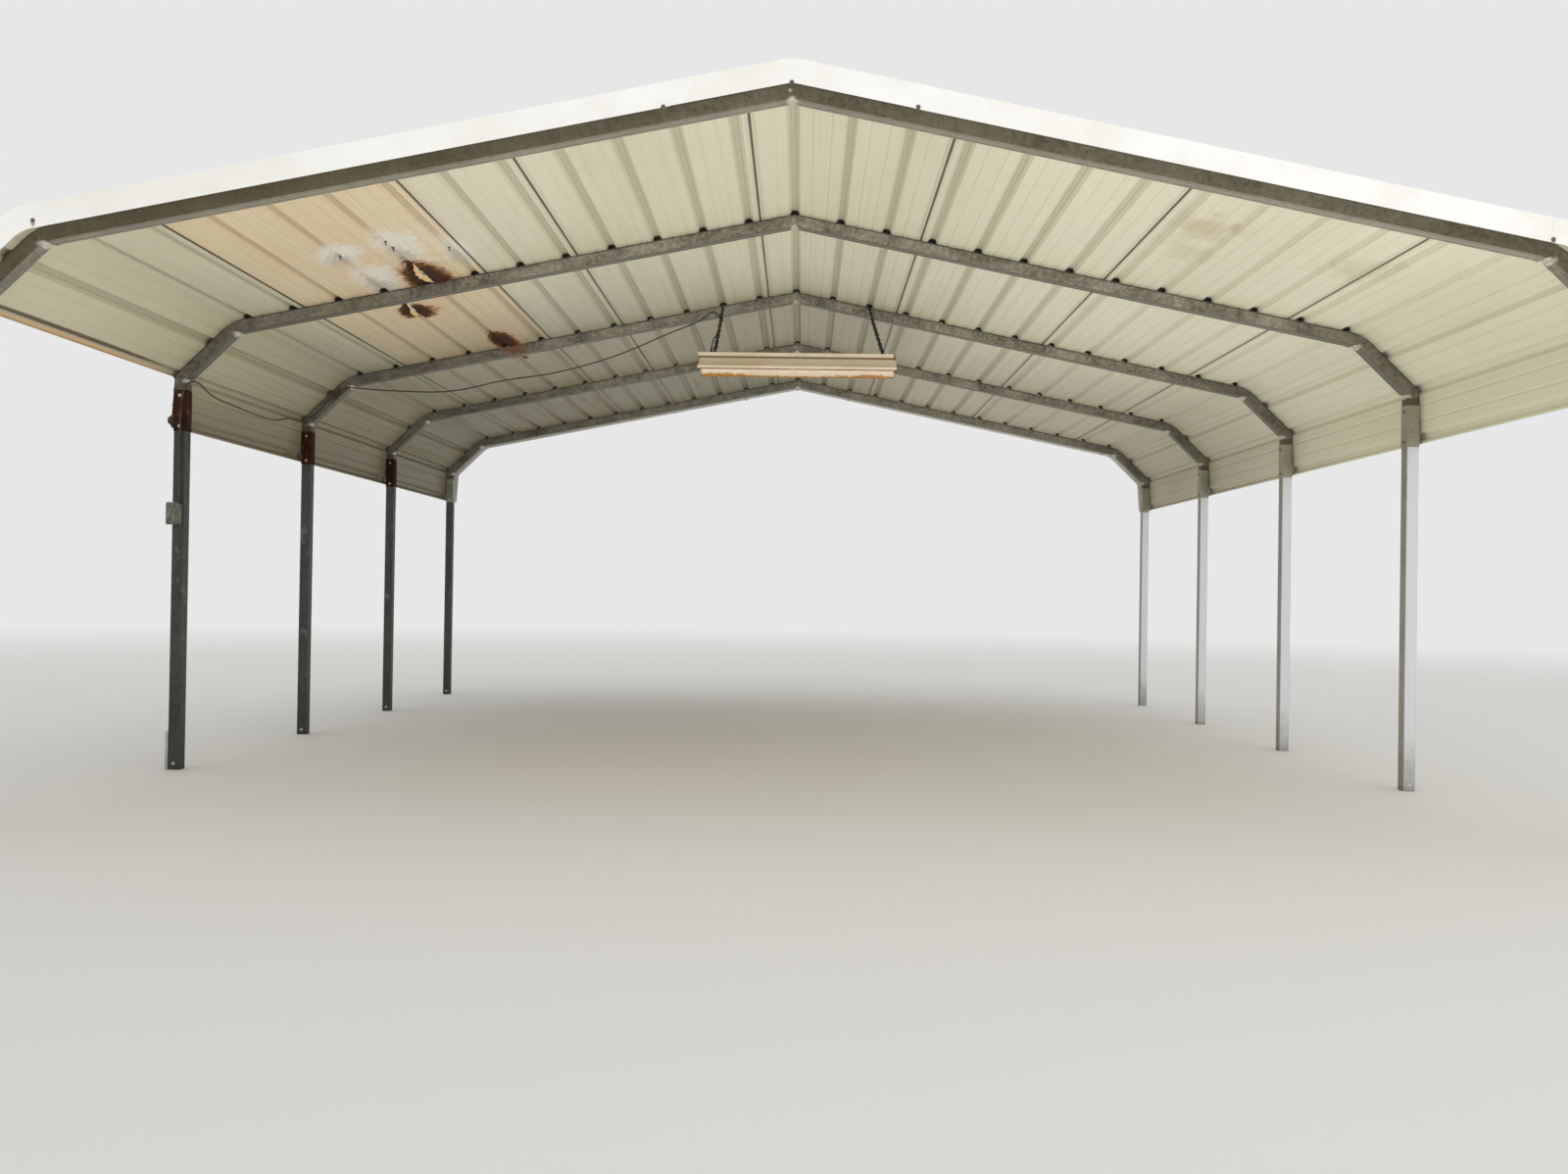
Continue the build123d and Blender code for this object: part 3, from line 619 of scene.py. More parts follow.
@dataclass(frozen=True)
class Paint:
    """Baked paint on a roof sheet, with dust along the ribs, faint panels and stains, and painted light and
    shade on its under side.
    """

    name: str
    base: Colour
    shade: Colour
    dust: Colour
    hollow: Colour
    rough: float = 0.42
    faded: Colour | None = None
    marks: tuple[Stain, ...] = ()

    def build(self, effects: Effects) -> Material:
        """Make the material.

        Args:
            effects: The shared node groups.

        Returns:
            The paint.
        """
        surface = Surface(effects, self.name, self.rough)
        surface.fix("Specular IOR Level", 0.3)
        graph, place, roof = surface.graph, surface.place, surface.roof()
        surface.colour = graph.mix(surface.cloud((0.9, 0.35, 0.5), 0.34, 0.68), self.base, self.shade)
        run = surface.cloud((26.0, 0.7, 0.0), 0.5, 0.74)
        surface.lay(self.dust, run, 0.11)
        surface.lay(self.dust, surface.cloud((1.6, 22.0, 0.0), 0.52, 0.72), 0.09)
        surface.lay(tone(128, 112, 84), surface.specks(34.0, 0.07), 0.4)
        self.weather_top(surface, roof)
        self.shade_under(surface, roof["Under"])
        self.soil_and_shade_ribs(surface, roof)
        rough = graph.step(run, 0.0, 1.0, self.rough, self.rough + 0.2)
        oil = graph.noise(graph.vector("MULTIPLY", place, (1.0, 0.5, 0.0)), 5.0, 2.0)
        height = graph.math("ADD", oil, graph.times(graph.noise(place, 120.0, 2.0), 0.02))
        return surface.close(rough, 0.95, height, 0.3, 0.01)

    @staticmethod
    def weather_top(surface: Surface, roof: Outputs) -> None:
        """Weather the upper side: grey dirt beside the ribs, runs down the slope and dark growth.

        Args:
            surface: The material in the making.
            roof: Where a point lies on the roof.
        """
        graph = surface.graph
        top = graph.math("SUBTRACT", 1.0, roof["Under"])
        flat = graph.math("SUBTRACT", 1.0, graph.step(roof["Height"], 0.002, 0.010))
        surface.lay(tone(176, 171, 152), flat, surface.cloud((2.4, 5.0, 2.4), 0.42, 0.7), top, 0.32)
        surface.lay(tone(156, 150, 130), surface.cloud((1.0, 30.0, 1.0), 0.55, 0.72), top, 0.24)
        surface.lay(tone(96, 98, 80), surface.specks(22.0, 0.16), top, 0.5)

    def shade_under(self, surface: Surface, under: Socket) -> None:
        """Paint shade on the under side towards the rear, the left and the ridge, and painted light towards
        the right.

        Args:
            surface: The material in the making.
            under: Mask of the under side.
        """
        graph = surface.graph
        x, along, z = graph.split(surface.place)
        if self.faded is not None:
            surface.lay(self.faded, graph.step(along, -0.6, 1.7, 0.0, 0.8))
        eave = graph.times(graph.step(x, -2.2, -2.9, 0.0, 0.6), graph.step(along, -2.6, -1.3, 0.42, 1.0))
        rear_left = graph.times(graph.step(x, 1.0, -1.9), graph.step(along, -1.7, 1.2, 0.0, 0.72))
        far_left = graph.times(graph.step(x, 0.6, -0.4), graph.step(along, 0.9, 2.2, 0.0, 0.34))
        near_ridge = graph.step(graph.free("ABSOLUTE", x), 0.5, 1.1, 0.3, 0.0)
        lit_right = graph.times(graph.step(x, 0.5, 1.2), graph.step(along, -0.8, 1.6, 0.26, 0.09))
        left_skirt = graph.times(graph.step(x, -2.98, -2.80, 1.0, 0.0), graph.step(z, 2.0, 1.75))
        # Painted shade on the under side in the eave, the rear left, the rear, the far left and by the ridge;
        # lit_right is painted light.
        surface.lay(tone(164, 151, 122), eave, under)
        surface.lay(tone(88, 84, 62), rear_left, under)
        surface.lay(tone(152, 147, 120), graph.step(along, -1.3, 1.7, 0.0, 0.62), under)
        surface.lay(tone(88, 84, 62), far_left, under)
        surface.lay(tone(118, 113, 90), near_ridge, graph.step(along, -0.25, 0.15), under)
        surface.lay(tone(234, 230, 208), lit_right, under)
        # Painted shade on the left skirt, on both its sides.
        surface.lay(tone(118, 111, 86), left_skirt, 0.75)

    def soil_and_shade_ribs(self, surface: Surface, roof: Outputs) -> None:
        """Soil and shade the under side: painted light in the ribs on the right, dust and painted shade in
        the deep hollows, dust over the bows, dirt and painted gap shadow along the laps, the stains, and
        painted shadow in the notches over the bows.

        Args:
            surface: The material in the making.
            roof: Where a point lies on the roof.
        """
        graph, under = surface.graph, roof["Under"]
        x, along, _ = graph.split(surface.place)
        leftward = graph.step(x, 2.1, 0.9)
        by_bow = graph.from_bow(along)
        laps = surface.effect(surface.effects.lap_lines)
        surface.lay(self.dust, roof["Bead"], under, 0.02)
        # Painted light: the ribs' under sides lighter, most on the right.
        surface.lay(tone(246, 243, 228), roof["Rib"], under, graph.step(leftward, 0.0, 1.0, 0.18, 0.0))
        # Dust and painted shade in the deep rib hollows, strongest on the left.
        surface.lay(self.hollow, roof["Deep"], under, graph.step(leftward, 0.0, 1.0, 0.06, 0.34))
        surface.lay(self.dust, graph.step(by_bow, 0.034, 0.085, 1.0, 0.0), under, 0.35)
        surface.lay(tone(150, 124, 84), laps["Wide"], under, 0.18)
        surface.stain(self.marks)
        # Painted shadow: near black in the rib hollows right over each bow, also rough like rust.
        notch_shadow = graph.times(roof["Rib"], under, graph.step(by_bow, 0.030, 0.042, 1.0, 0.0))
        surface.rusted = graph.most(surface.rusted, notch_shadow)
        surface.lay(tone(46, 40, 32), notch_shadow, graph.step(graph.free("ABSOLUTE", x), 2.72, 2.86, 0.95, 0.22))
        # Dark lap lines: dirt with painted gap shadow.
        surface.lay(tone(62, 50, 34), laps["Mask"], under, 0.92)


@dataclass(frozen=True)
class RustySteel:
    """Steel that has rusted all over, in layers of brown."""

    name: str
    pale_share: float = 0.0

    def build(self, effects: Effects) -> Material:
        """Make the material.

        Args:
            effects: The shared node groups.

        Returns:
            The rusted steel.
        """
        surface = Surface(effects, self.name, 0.86)
        surface.fix("Specular IOR Level", 0.12)
        graph = surface.graph
        broad = surface.cloud((30.0, 30.0, 12.0), 0.38, 0.66)
        surface.colour = graph.mix(broad, tone(36, 21, 14), tone(66, 37, 24))
        fine = surface.cloud((140.0, 140.0, 140.0), 0.5, 0.66)
        surface.lay(tone(98, 60, 36), fine, 0.3)
        surface.lay(tone(170, 152, 122), surface.cloud((44.0, 44.0, 20.0), 0.64, 0.7), self.pale_share)
        rough = graph.step(fine, 0.0, 1.0, 0.78, 0.95)
        return surface.close(rough, 0.9, graph.noise(surface.place, 160.0, 5.0), 0.6, 0.0015)


@dataclass(frozen=True)
class Coating:
    """Plain coating that has aged: blotches, specks of rust and stains."""

    name: str
    base: Colour
    wear_and_shade: Colour
    rough: float = 0.4
    metallic: float = 0.0
    grain: float = 18.0
    rust: float = 0.0
    coat: float = 0.0
    streak: Triple = (30.0, 30.0, 4.0)
    marks: tuple[Stain, ...] = ()

    def build(self, effects: Effects) -> Material:
        """Make the material.

        Args:
            effects: The shared node groups.

        Returns:
            The coating.
        """
        surface = Surface(effects, self.name, self.rough, self.metallic)
        surface.fix("Coat Weight", self.coat)
        graph = surface.graph
        blotches = surface.cloud((self.grain, self.grain, self.grain), 0.36, 0.68)
        surface.colour = graph.mix(blotches, self.base, self.wear_and_shade)
        run = surface.cloud(self.streak, 0.52, 0.74)
        surface.lay(self.wear_and_shade, run, 0.4)
        if self.rust > 0.0:
            surface.lay(RUST_BROWN, surface.specks(90.0, self.rust))
        surface.stain(self.marks)
        rough = graph.step(run, 0.0, 1.0, self.rough, min(1.0, self.rough + 0.25))
        return surface.close(rough, 0.9, graph.noise(surface.place, 90.0, 4.0), 0.2, 0.001)


def on_roof(x: float, y: float, half_x: float, half_y: float, colour: Colour, *how: float) -> Stain:
    """Mark on the roof, seen from above: a discoloured spot, or painted shade there.

    Args:
        x: Its middle across the carport.
        y: Its middle along the carport.
        half_x: Half of its width.
        half_y: Half of its length.
        colour: Its colour.
        *how: Its strength, raggedness, grain, softness, and whether it is rust.

    Returns:
        The mark, through the whole height.
    """
    return Stain((x, y, 0.0), (half_x, half_y, ALL_ALONG), colour, *how)


def hole_stains(x: float, y: float, half_x: float, half_y: float, red: float) -> tuple[Stain, ...]:
    """Rust round one weak place of the roof, from the pale wash to the dark middle.

    Args:
        x: Middle of the dark part across the carport.
        y: Middle of the dark part along the carport.
        half_x: Half of the dark part across.
        half_y: Half of the dark part along.
        red: How red its right end is.

    Returns:
        Five stains, widest first.
    """
    end_x, end_y = x + half_x * 0.5, y + half_y * 0.5
    return (
        on_roof(x, y, half_x * 1.9, half_y * 1.45, RUST_WASH, 0.5, 1.2, 9.0, 0.7),
        on_roof(x, y, half_x * 1.35, half_y * 1.15, RUST_ORANGE, 0.85, 1.5, 16.0, 0.3, True),
        on_roof(x, y, half_x * 1.15, half_y * 1.06, RUST_BROWN, 0.95, 1.5, 20.0, 0.25, True),
        on_roof(x - half_x * 0.1, y, half_x, half_y, RUST_DARK, 0.9, 2.0, 26.0, 0.3, True),
        on_roof(end_x, end_y, half_x * 0.6, half_y * 0.55, RUST_RED, red, 1.4, 24.0, 0.5, True),
    )


def sealant(x: float, y: float, half_x: float, half_y: float, strength: float) -> tuple[Stain, ...]:
    """Pale smear of sealant round a roof screw.

    Args:
        x: Middle of the smear across the carport.
        y: Middle of the smear along the carport.
        half_x: Half of its width.
        half_y: Half of its length.
        strength: How far it hides the paint.

    Returns:
        The thin smear, its thicker strokes and a greyer part.
    """
    left, right = x - half_x * 0.2, x + half_x * 0.15
    front, rear = y - half_y * 0.25, y + half_y * 0.3
    return (
        on_roof(x, y, half_x * 1.15, half_y * 1.08, SEALANT, 0.55 * strength, 2.2, 11.0, 0.6),
        on_roof(right, front, half_x * 0.8, half_y * 0.6, SEALANT, 0.8 * strength, 2.6, 21.0, 0.45),
        on_roof(left, rear, half_x * 0.6, half_y * 0.5, SEALANT_SHADE, 0.6 * strength, 2.4, 26.0, 0.6),
    )


ROOF_STAINS_AND_LAP_SHADOW = (
    on_roof(-1.90, -1.55, 0.30, 1.30, tone(214, 180, 132), 0.3, 0.9, 4.0, 0.8),
    on_roof(1.70, -2.50, 0.19, 0.24, tone(180, 158, 112), 0.48, 2.2, 9.0, 0.9),
    on_roof(1.72, -2.18, 0.20, 0.16, tone(188, 170, 128), 0.34, 2.2, 9.0, 0.9),
    on_roof(2.36, -2.38, 0.20, 0.22, tone(180, 160, 116), 0.40, 2.2, 9.0, 0.9),
    # Dark line along the tan sheet's left lap: dirt and painted gap shadow.
    on_roof(-2.4096, -1.70, 0.0052, 1.50, tone(44, 36, 26), 0.92, 0.3, 20.0, 0.2),
    *sealant(-2.000, -2.165, 0.120, 0.185, 1.05),
    *sealant(-1.748, -2.110, 0.115, 0.330, 1.05),
    *sealant(-1.975, -1.750, 0.130, 0.300, 1.0),
    *sealant(-1.545, -1.930, 0.085, 0.330, 0.8),
    *hole_stains(-1.770, -1.625, 0.092, 0.290, 0.85),
    *hole_stains(-1.990, -1.120, 0.076, 0.140, 0.25),
    *hole_stains(-1.763, -0.195, 0.064, 0.240, 0.15),
    on_roof(-1.790, 0.24, 0.060, 0.17, RUST_ORANGE, 0.7, 1.6, 20.0, 0.5, True),
    on_roof(-1.752, 0.335, 0.026, 0.045, RUST_BROWN, 0.9, 1.2, 30.0, 0.4, True),
    Stain((-3.07, -2.40, 1.943), (0.06, 0.95, 0.020), tone(214, 178, 132), 0.8, 0.4, 20.0, 0.3),
    Stain((-3.05, -2.40, 1.969), (0.06, 0.95, 0.0055), tone(72, 58, 40), 0.85, 0.3, 30.0, 0.4),
)
LAMP_STAINS_AND_GROOVE_SHADE = (
    # Painted shade in the housing's groove; the rest are rust.
    Stain((0.0, -0.08, 2.3620), (ALL_ALONG, 0.06, 0.0110), tone(120, 98, 66), 0.95, 0.25, 30.0, 0.6),
    Stain((0.0, -0.13, 2.2742), (ALL_ALONG, 0.05, 0.0092), tone(122, 74, 42), 1.0, 0.8, 40.0, 0.7, True),
    Stain((-0.44, 0.13, 2.2740), (0.24, 0.06, 0.0260), tone(208, 148, 74), 0.95, 1.6, 26.0, 0.4, True),
    Stain((0.44, 0.13, 2.2740), (0.27, 0.06, 0.0240), tone(200, 138, 64), 0.95, 1.6, 26.0, 0.4, True),
    Stain((0.0, 0.13, 2.2742), (ALL_ALONG, 0.05, 0.0110), tone(180, 126, 66), 0.95, 1.9, 34.0, 0.5, True),
    Stain((0.612, 0.0, 2.372), (0.016, ALL_ALONG, 0.030), tone(120, 70, 40), 0.8, 1.4, 60.0, 0.5, True),
    Stain((-0.596, 0.0, 2.33), (0.010, ALL_ALONG, 0.060), tone(130, 84, 50), 0.8, 1.4, 60.0, 0.5, True),
)
TORN_STAINS = (
    on_roof(-1.760, -1.78, 0.010, 0.09, RUST_DARK, 0.9, 1.6, 40.0, 0.5, True),
    on_roof(-1.780, -1.56, 0.020, 0.035, RUST_BROWN, 0.9, 1.6, 40.0, 0.5, True),
    on_roof(-1.990, -1.05, 0.020, 0.050, RUST_BROWN, 0.9, 1.8, 40.0, 0.5, True),
    on_roof(-2.010, -1.25, 0.020, 0.030, RUST_DARK, 0.9, 1.6, 40.0, 0.5, True),
)
TRIM_STAINS = tuple(
    Stain((x, 0.0, z - 0.008), (0.010, ALL_ALONG, 0.018), RUST_ORANGE, 0.7, 1.0, 60.0, 0.5)
    for x, z in TRIM_SCREWS
)
# Painted highlights: pale spots on the crimped folds of the knees, shoulders and ridge of every bow.
BOW_FOLD_HIGHLIGHTS = tuple(
    Stain((x, y, z), (0.026, 0.05, 0.018), tone(222, 220, 210), 0.8, 1.0, 60.0, 0.6)
    for x, z in ((-2.995, 1.915), (2.995, 1.915), (-2.752, 2.155), (2.752, 2.155), (0.0, 2.713))
    for y in BOW_PLACES
)
# Painted shade in the creases at the shoulders and knees of every bow.
BOW_CREASE_SHADE = tuple(
    Stain((side.value * x, 0.0, z), (0.010, ALL_ALONG, 0.010), tone(84, 78, 66), 0.7, 0.9, 70.0, 0.5)
    for side in Side
    for x, z in ((2.735, 2.140), (2.775, 2.172), (2.985, 1.900))
)
# Marks on the bows: painted highlights on the folds, a darker band low at the knees, painted shade in the
# creases, and rust.
BOW_STAINS_AND_LIGHT = (
    *BOW_FOLD_HIGHLIGHTS,
    Stain((0.0, 0.0, 1.889), (ALL_ALONG, ALL_ALONG, 0.024), tone(88, 76, 60), 0.75, 0.3, 40.0, 0.5),
    *BOW_CREASE_SHADE,
    Stain((-1.735, -1.56, 2.435), (0.085, 0.06, 0.045), RUST_RED, 0.75, 1.5, 26.0, 0.7, True),
    Stain((-2.843, -0.03, 2.13), (0.035, 0.05, 0.07), RUST_BROWN, 0.7, 1.2, 24.0, 0.4),
    Stain((-1.75, -0.03, 2.41), (0.10, 0.05, 0.06), RUST_ORANGE, 0.6, 1.6, 22.0, 0.5),
)


# ---- Modelling by hand ----


def let_go() -> None:
    """Leave edit mode and select nothing."""
    if bpy.context.object is not None and bpy.context.object.mode != "OBJECT":
        bpy.ops.object.mode_set(mode="OBJECT")
    bpy.ops.object.select_all(action="DESELECT")


def take(piece: Piece) -> None:
    """Select one object alone and make it the active one.

    Args:
        piece: The object.
    """
    let_go()
    piece.select_set(True)
    bpy.context.view_layer.objects.active = piece


def pick(piece: Piece, kind: str, test: Callable[[Any], bool]) -> None:
    """Select in edit mode what passes a test, and nothing else.

    Args:
        piece: The object, which is opened in edit mode.
        kind: VERT, EDGE or FACE.
        test: Says of one element whether it is selected.
    """
    take(piece)
    bpy.ops.object.mode_set(mode="EDIT")
    bpy.ops.mesh.select_mode(type=kind)
    bpy.ops.mesh.select_all(action="DESELECT")
    shape = bmesh.from_edit_mesh(piece.data)
    for element in {"VERT": shape.verts, "EDGE": shape.edges, "FACE": shape.faces}[kind]:
        if test(element):
            element.select_set(True)
    bmesh.update_edit_mesh(piece.data)


def pick_faces(piece: Piece, direction: Vector) -> None:
    """Select the faces that point in one direction."""
    pick(piece, "FACE", lambda face: face.normal.dot(direction) > 0.9)


def pick_edges(piece: Piece, axis: int, longer: float) -> None:
    """Select the edges that run along one axis for more than a length."""
    pick(piece, "EDGE", lambda edge: abs(edge.verts[0].co[axis] - edge.verts[1].co[axis]) > longer)


def pick_low_edges(piece: Piece, below: float) -> None:
    """Select the edges that lie below a height."""
    pick(piece, "EDGE", lambda edge: all(corner.co.z < below for corner in edge.verts))


def extrude(x: float, y: float, z: float) -> None:
    """Extrude what is selected by a shift."""
    bpy.ops.mesh.extrude_region_move(TRANSFORM_OT_translate={"value": (x, y, z)})


def inset(thickness: float, depth: float = 0.0) -> None:
    """Inset the selected faces."""
    bpy.ops.mesh.inset(thickness=thickness, depth=depth)


def resize(x: float, y: float, z: float, **options: Any) -> None:
    """Scale what is selected."""
    bpy.ops.transform.resize(value=(x, y, z), **options)


def bevel(offset: float) -> None:
    """Round the selected edges in two steps."""
    bpy.ops.mesh.bevel(offset=offset, segments=2)


def settle(piece: Piece, smooth_below: float = 35.0) -> Piece:
    """Finish a modelled piece: object mode, place in the mesh, smooth sides and sharp corners.

    Args:
        piece: The piece.
        smooth_below: Angle in degrees below which an edge is shaded smooth.

    Returns:
        The same piece.
    """
    take(piece)
    bpy.ops.object.transform_apply(location=True, rotation=True, scale=True)
    bpy.ops.object.shade_smooth_by_angle(angle=math.radians(smooth_below))
    return piece


def named(name: str) -> Piece:
    """Give the active object its name.

    Args:
        name: The name.

    Returns:
        The object.
    """
    piece = bpy.context.object
    piece.name = name
    piece.data.name = name
    return piece


def begin(add: Callable[..., Any], name: str, **sizes: Any) -> Piece:
    """Add a primitive with nothing else selected.

    Args:
        add: Operator that adds the primitive.
        name: Name of the piece.
        **sizes: What the operator is given.

    Returns:
        The new piece.
    """
    let_go()
    add(**sizes)
    return named(name)


def block(name: str, middle: Sequence[float], size: Triple) -> Piece:
    """Begin a piece with a block.

    Args:
        name: Name of the piece.
        middle: Where its middle is.
        size: Its size along X, Y and Z.

    Returns:
        The block.
    """
    piece = begin(bpy.ops.mesh.primitive_cube_add, name, size=1.0, location=middle)
    piece.scale = size
    return settle(piece)


def disc(
    name: str, sides: int, radius: float, depth: float, middle: Sequence[float], turn: Triple = ORIGIN
) -> Piece:
    """Begin a piece with a disc.

    Args:
        name: Name of the piece.
        sides: How many sides stand for its round.
        radius: Its radius.
        depth: Its depth.
        middle: Where its middle is.
        turn: Turns about X, Y and Z that it is added with.

    Returns:
        The disc.
    """
    sizes = {"vertices": sides, "radius": radius, "depth": depth}
    return settle(begin(bpy.ops.mesh.primitive_cylinder_add, name, location=middle, rotation=turn, **sizes))


def ring(name: str, radius: float, wire: float, around: int) -> Piece:
    """Begin a piece with a ring of wire.

    Args:
        name: Name of the piece.
        radius: Radius of the wire's middle line.
        wire: Radius of the wire itself.
        around: How many straight parts stand for the round.

    Returns:
        The ring, lying flat.
    """
    sizes = {"major_radius": radius, "minor_radius": wire, "major_segments": around, "minor_segments": 6}
    return begin(bpy.ops.mesh.primitive_torus_add, name, **sizes)


def facing(point: Sequence[float], outward: Vector, spin: float = 0.0) -> Matrix:
    """Place with its own Z along a direction.

    Args:
        point: Where the piece's origin goes.
        outward: Direction that the piece's Z takes.
        spin: Turn about that direction, in radians.

    Returns:
        The place as a matrix.
    """
    turn = outward.normalized().to_track_quat("Z", "Y").to_matrix().to_4x4()
    return Matrix.Translation(point) @ turn @ Matrix.Rotation(spin, 4, "Z")


def front_and_back(x: float, z: float, front: float, back: float, spins: Sequence[float]) -> list[Matrix]:
    """Places on a front face and on the rear face behind it.

    Args:
        x: Distance across the carport.
        z: Height.
        front: Place of the front face along the carport.
        back: Place of the rear face along the carport.
        spins: Turn of each about its own direction.

    Returns:
        The two places.
    """
    return [facing((x, front, z), FRONT, spins[0]), facing((x, back, z), BACK, spins[1])]


def dressed(piece: Piece, material: Material) -> Piece:
    """Give a new piece its finish and let it ride on the carport.

    Args:
        piece: The new piece.
        material: Its finish.

    Returns:
        The same piece.
    """
    piece.data.materials.clear()
    piece.data.materials.append(material)
    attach(piece, BODY)
    log.info("piece %s", piece.name)
    return piece


def copied(source: Piece, name: str, places: Sequence[Matrix], material: Material) -> Piece:
    """Copy a modelled piece to several places, join the copies and dress them.

    Args:
        source: The piece that was modelled once.
        name: Name of the joined piece.
        places: Where each copy goes.
        material: Their finish.

    Returns:
        One object that holds all copies.
    """
    let_go()
    for place in places:
        mesh = source.data.copy()
        mesh.transform(place)
        copy = bpy.data.objects.new(name, mesh)
        bpy.context.scene.collection.objects.link(copy)
        copy.select_set(True)
        if place is places[0]:
            bpy.context.view_layer.objects.active = copy
    bpy.ops.object.join()
    return dressed(named(name), material)


def drop(*sources: Piece) -> None:
    """Remove pieces that were only copied from."""
    for source in sources:
        bpy.data.objects.remove(source)


def coat(nodes: Iterable[str], material: Material) -> None:
    """Put a finish on nodes of the built model.

    Args:
        nodes: Names of the nodes.
        material: Their finish.
    """
    for name in nodes:
        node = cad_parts[name]
        if not node.material_slots:
            node.data.materials.append(material)
        for slot in node.material_slots:
            slot.material = material
        log.info("finish %s on %s", material.name, name)


# ---- Camera, floor and light ----


@dataclass
class PhotoCamera:
    """Camera at the photograph's place and angle."""

    position: Triple = (0.061623, -7.470930, 0.902431)
    yaw: float = -0.0148178
    pitch: float = 0.0070397
    roll: float = 0.0151381
    sensor: float = 36.0
    lens: float = 27.785

    def build(self) -> None:
        """Make the camera and let the scene use it."""
        level = Vector((math.cos(self.yaw), -math.sin(self.yaw), 0.0))
        flat = math.cos(self.pitch)
        ahead = Vector((math.sin(self.yaw) * flat, math.cos(self.yaw) * flat, math.sin(self.pitch)))
        above = level.cross(ahead)
        right = math.cos(self.roll) * level + math.sin(self.roll) * above
        up = -math.sin(self.roll) * level + math.cos(self.roll) * above
        data = bpy.data.cameras.new("photo_camera")
        data.sensor_fit = "HORIZONTAL"
        data.sensor_width = self.sensor
        data.lens = self.lens
        data.clip_end = 200.0
        camera = bpy.data.objects.new("photo_camera", data)
        turn = Matrix((right, up, -ahead)).transposed().to_4x4()
        camera.matrix_world = Matrix.Translation(self.position) @ turn
        bpy.context.scene.collection.objects.link(camera)
        bpy.context.scene.camera = camera


@dataclass
class Studio:
    """Plain pale floor, white surroundings and soft lights."""

    floor_half: float = 60.0
    fade_start: float = 6.0
    fade_end: float = 26.0
    backdrop: float = 0.80
    ambient: float = 0.72

    def floor(self) -> None:
        """Lay the floor, which turns into the white surroundings far away and is clear from below."""
        sizes = {"x_subdivisions": 8, "y_subdivisions": 8, "size": 2.0 * self.floor_half}
        floor = settle(begin(bpy.ops.mesh.primitive_grid_add, "floor", location=(0.0, 0.0, -0.001), **sizes))
        material = bpy.data.materials.new("pale_floor")
        material.use_nodes = True
        graph = Graph(material.node_tree)
        shader = material.node_tree.nodes["Principled BSDF"]
        shader.inputs["Roughness"].default_value = 0.9
        shader.inputs["Base Color"].default_value = tone(236, 235, 231)
        away = graph.length(graph.vector("MULTIPLY", graph.place(), (1.0, 1.0, 0.0)))
        share = graph.step(away, self.fade_start, self.fade_end)
        glow = graph.node("ShaderNodeEmission", {"Color": WHITE, "Strength": self.backdrop})[0]
        above = graph.node("ShaderNodeMixShader", {0: share, 1: shader.outputs[0], 2: glow})[0]
        clear = graph.node("ShaderNodeBsdfTransparent", {})[0]
        below = graph.node("ShaderNodeNewGeometry", {})["Backfacing"]
        seen = graph.node("ShaderNodeMixShader", {0: below, 1: above, 2: clear})[0]
        graph.link(seen, material.node_tree.nodes["Material Output"].inputs["Surface"])
        floor.data.materials.append(material)

    def surroundings(self) -> None:
        """Light the scene evenly from all round; the camera and reflections see a plain pale ground."""
        world = bpy.data.worlds.new("surroundings")
        bpy.context.scene.world = world
        world.use_nodes = True
        graph = Graph(world.node_tree)
        path = graph.node("ShaderNodeLightPath", {})
        mirrored = graph.most(path["Is Glossy Ray"], path["Is Transmission Ray"])
        seen = graph.most(path["Is Camera Ray"], mirrored)
        sky = world.node_tree.nodes["Background"].inputs
        sky["Color"].default_value = WHITE
        graph.link(graph.ramp(seen, 0.0, 1.0, self.ambient, self.backdrop), sky["Strength"])

    def lamp(self, name: str, place: Triple, aim: Triple, size: tuple[float, float], glow: float) -> None:
        """Hang one soft light.

        Args:
            name: Name of the light.
            place: Its middle.
            aim: Point that it faces.
            size: Its width and height.
            glow: Brightness of its surface, where 1 is white.
        """
        data = bpy.data.lights.new(name, "AREA")
        data.shape = "RECTANGLE"
        data.size, data.size_y = size
        data.energy = glow * math.pi * size[0] * size[1]
        lamp = bpy.data.objects.new(name, data)
        lamp.matrix_world = facing(place, Vector(place) - Vector(aim))
        lamp.visible_camera = False
        bpy.context.scene.collection.objects.link(lamp)

    def build(self) -> None:
        """Make the floor, the surroundings and the lights, with colours shown as they are."""
        bpy.context.scene.view_settings.view_transform = "Standard"
        self.floor()
        self.surroundings()
        self.lamp("bounce", (0.6, -0.4, 0.02), (0.6, -0.4, 2.0), (5.0, 6.0), 0.38)
        self.lamp("bounce_front", (0.5, -5.6, 0.02), (0.5, -5.6, 2.0), (8.0, 3.6), 1.05)
        self.lamp("bounce_right", (5.2, 0.0, 0.02), (5.2, 0.0, 2.0), (3.4, 8.0), 0.8)
        self.lamp("front_soft", (2.5, -9.0, 3.0), (0.0, 0.0, 1.4), (7.0, 3.0), 0.9)
        self.lamp("high_soft", (4.0, -4.0, 8.5), (0.0, 0.0, 1.5), (6.0, 6.0), 0.5)


# ---- The lamp's cable ----


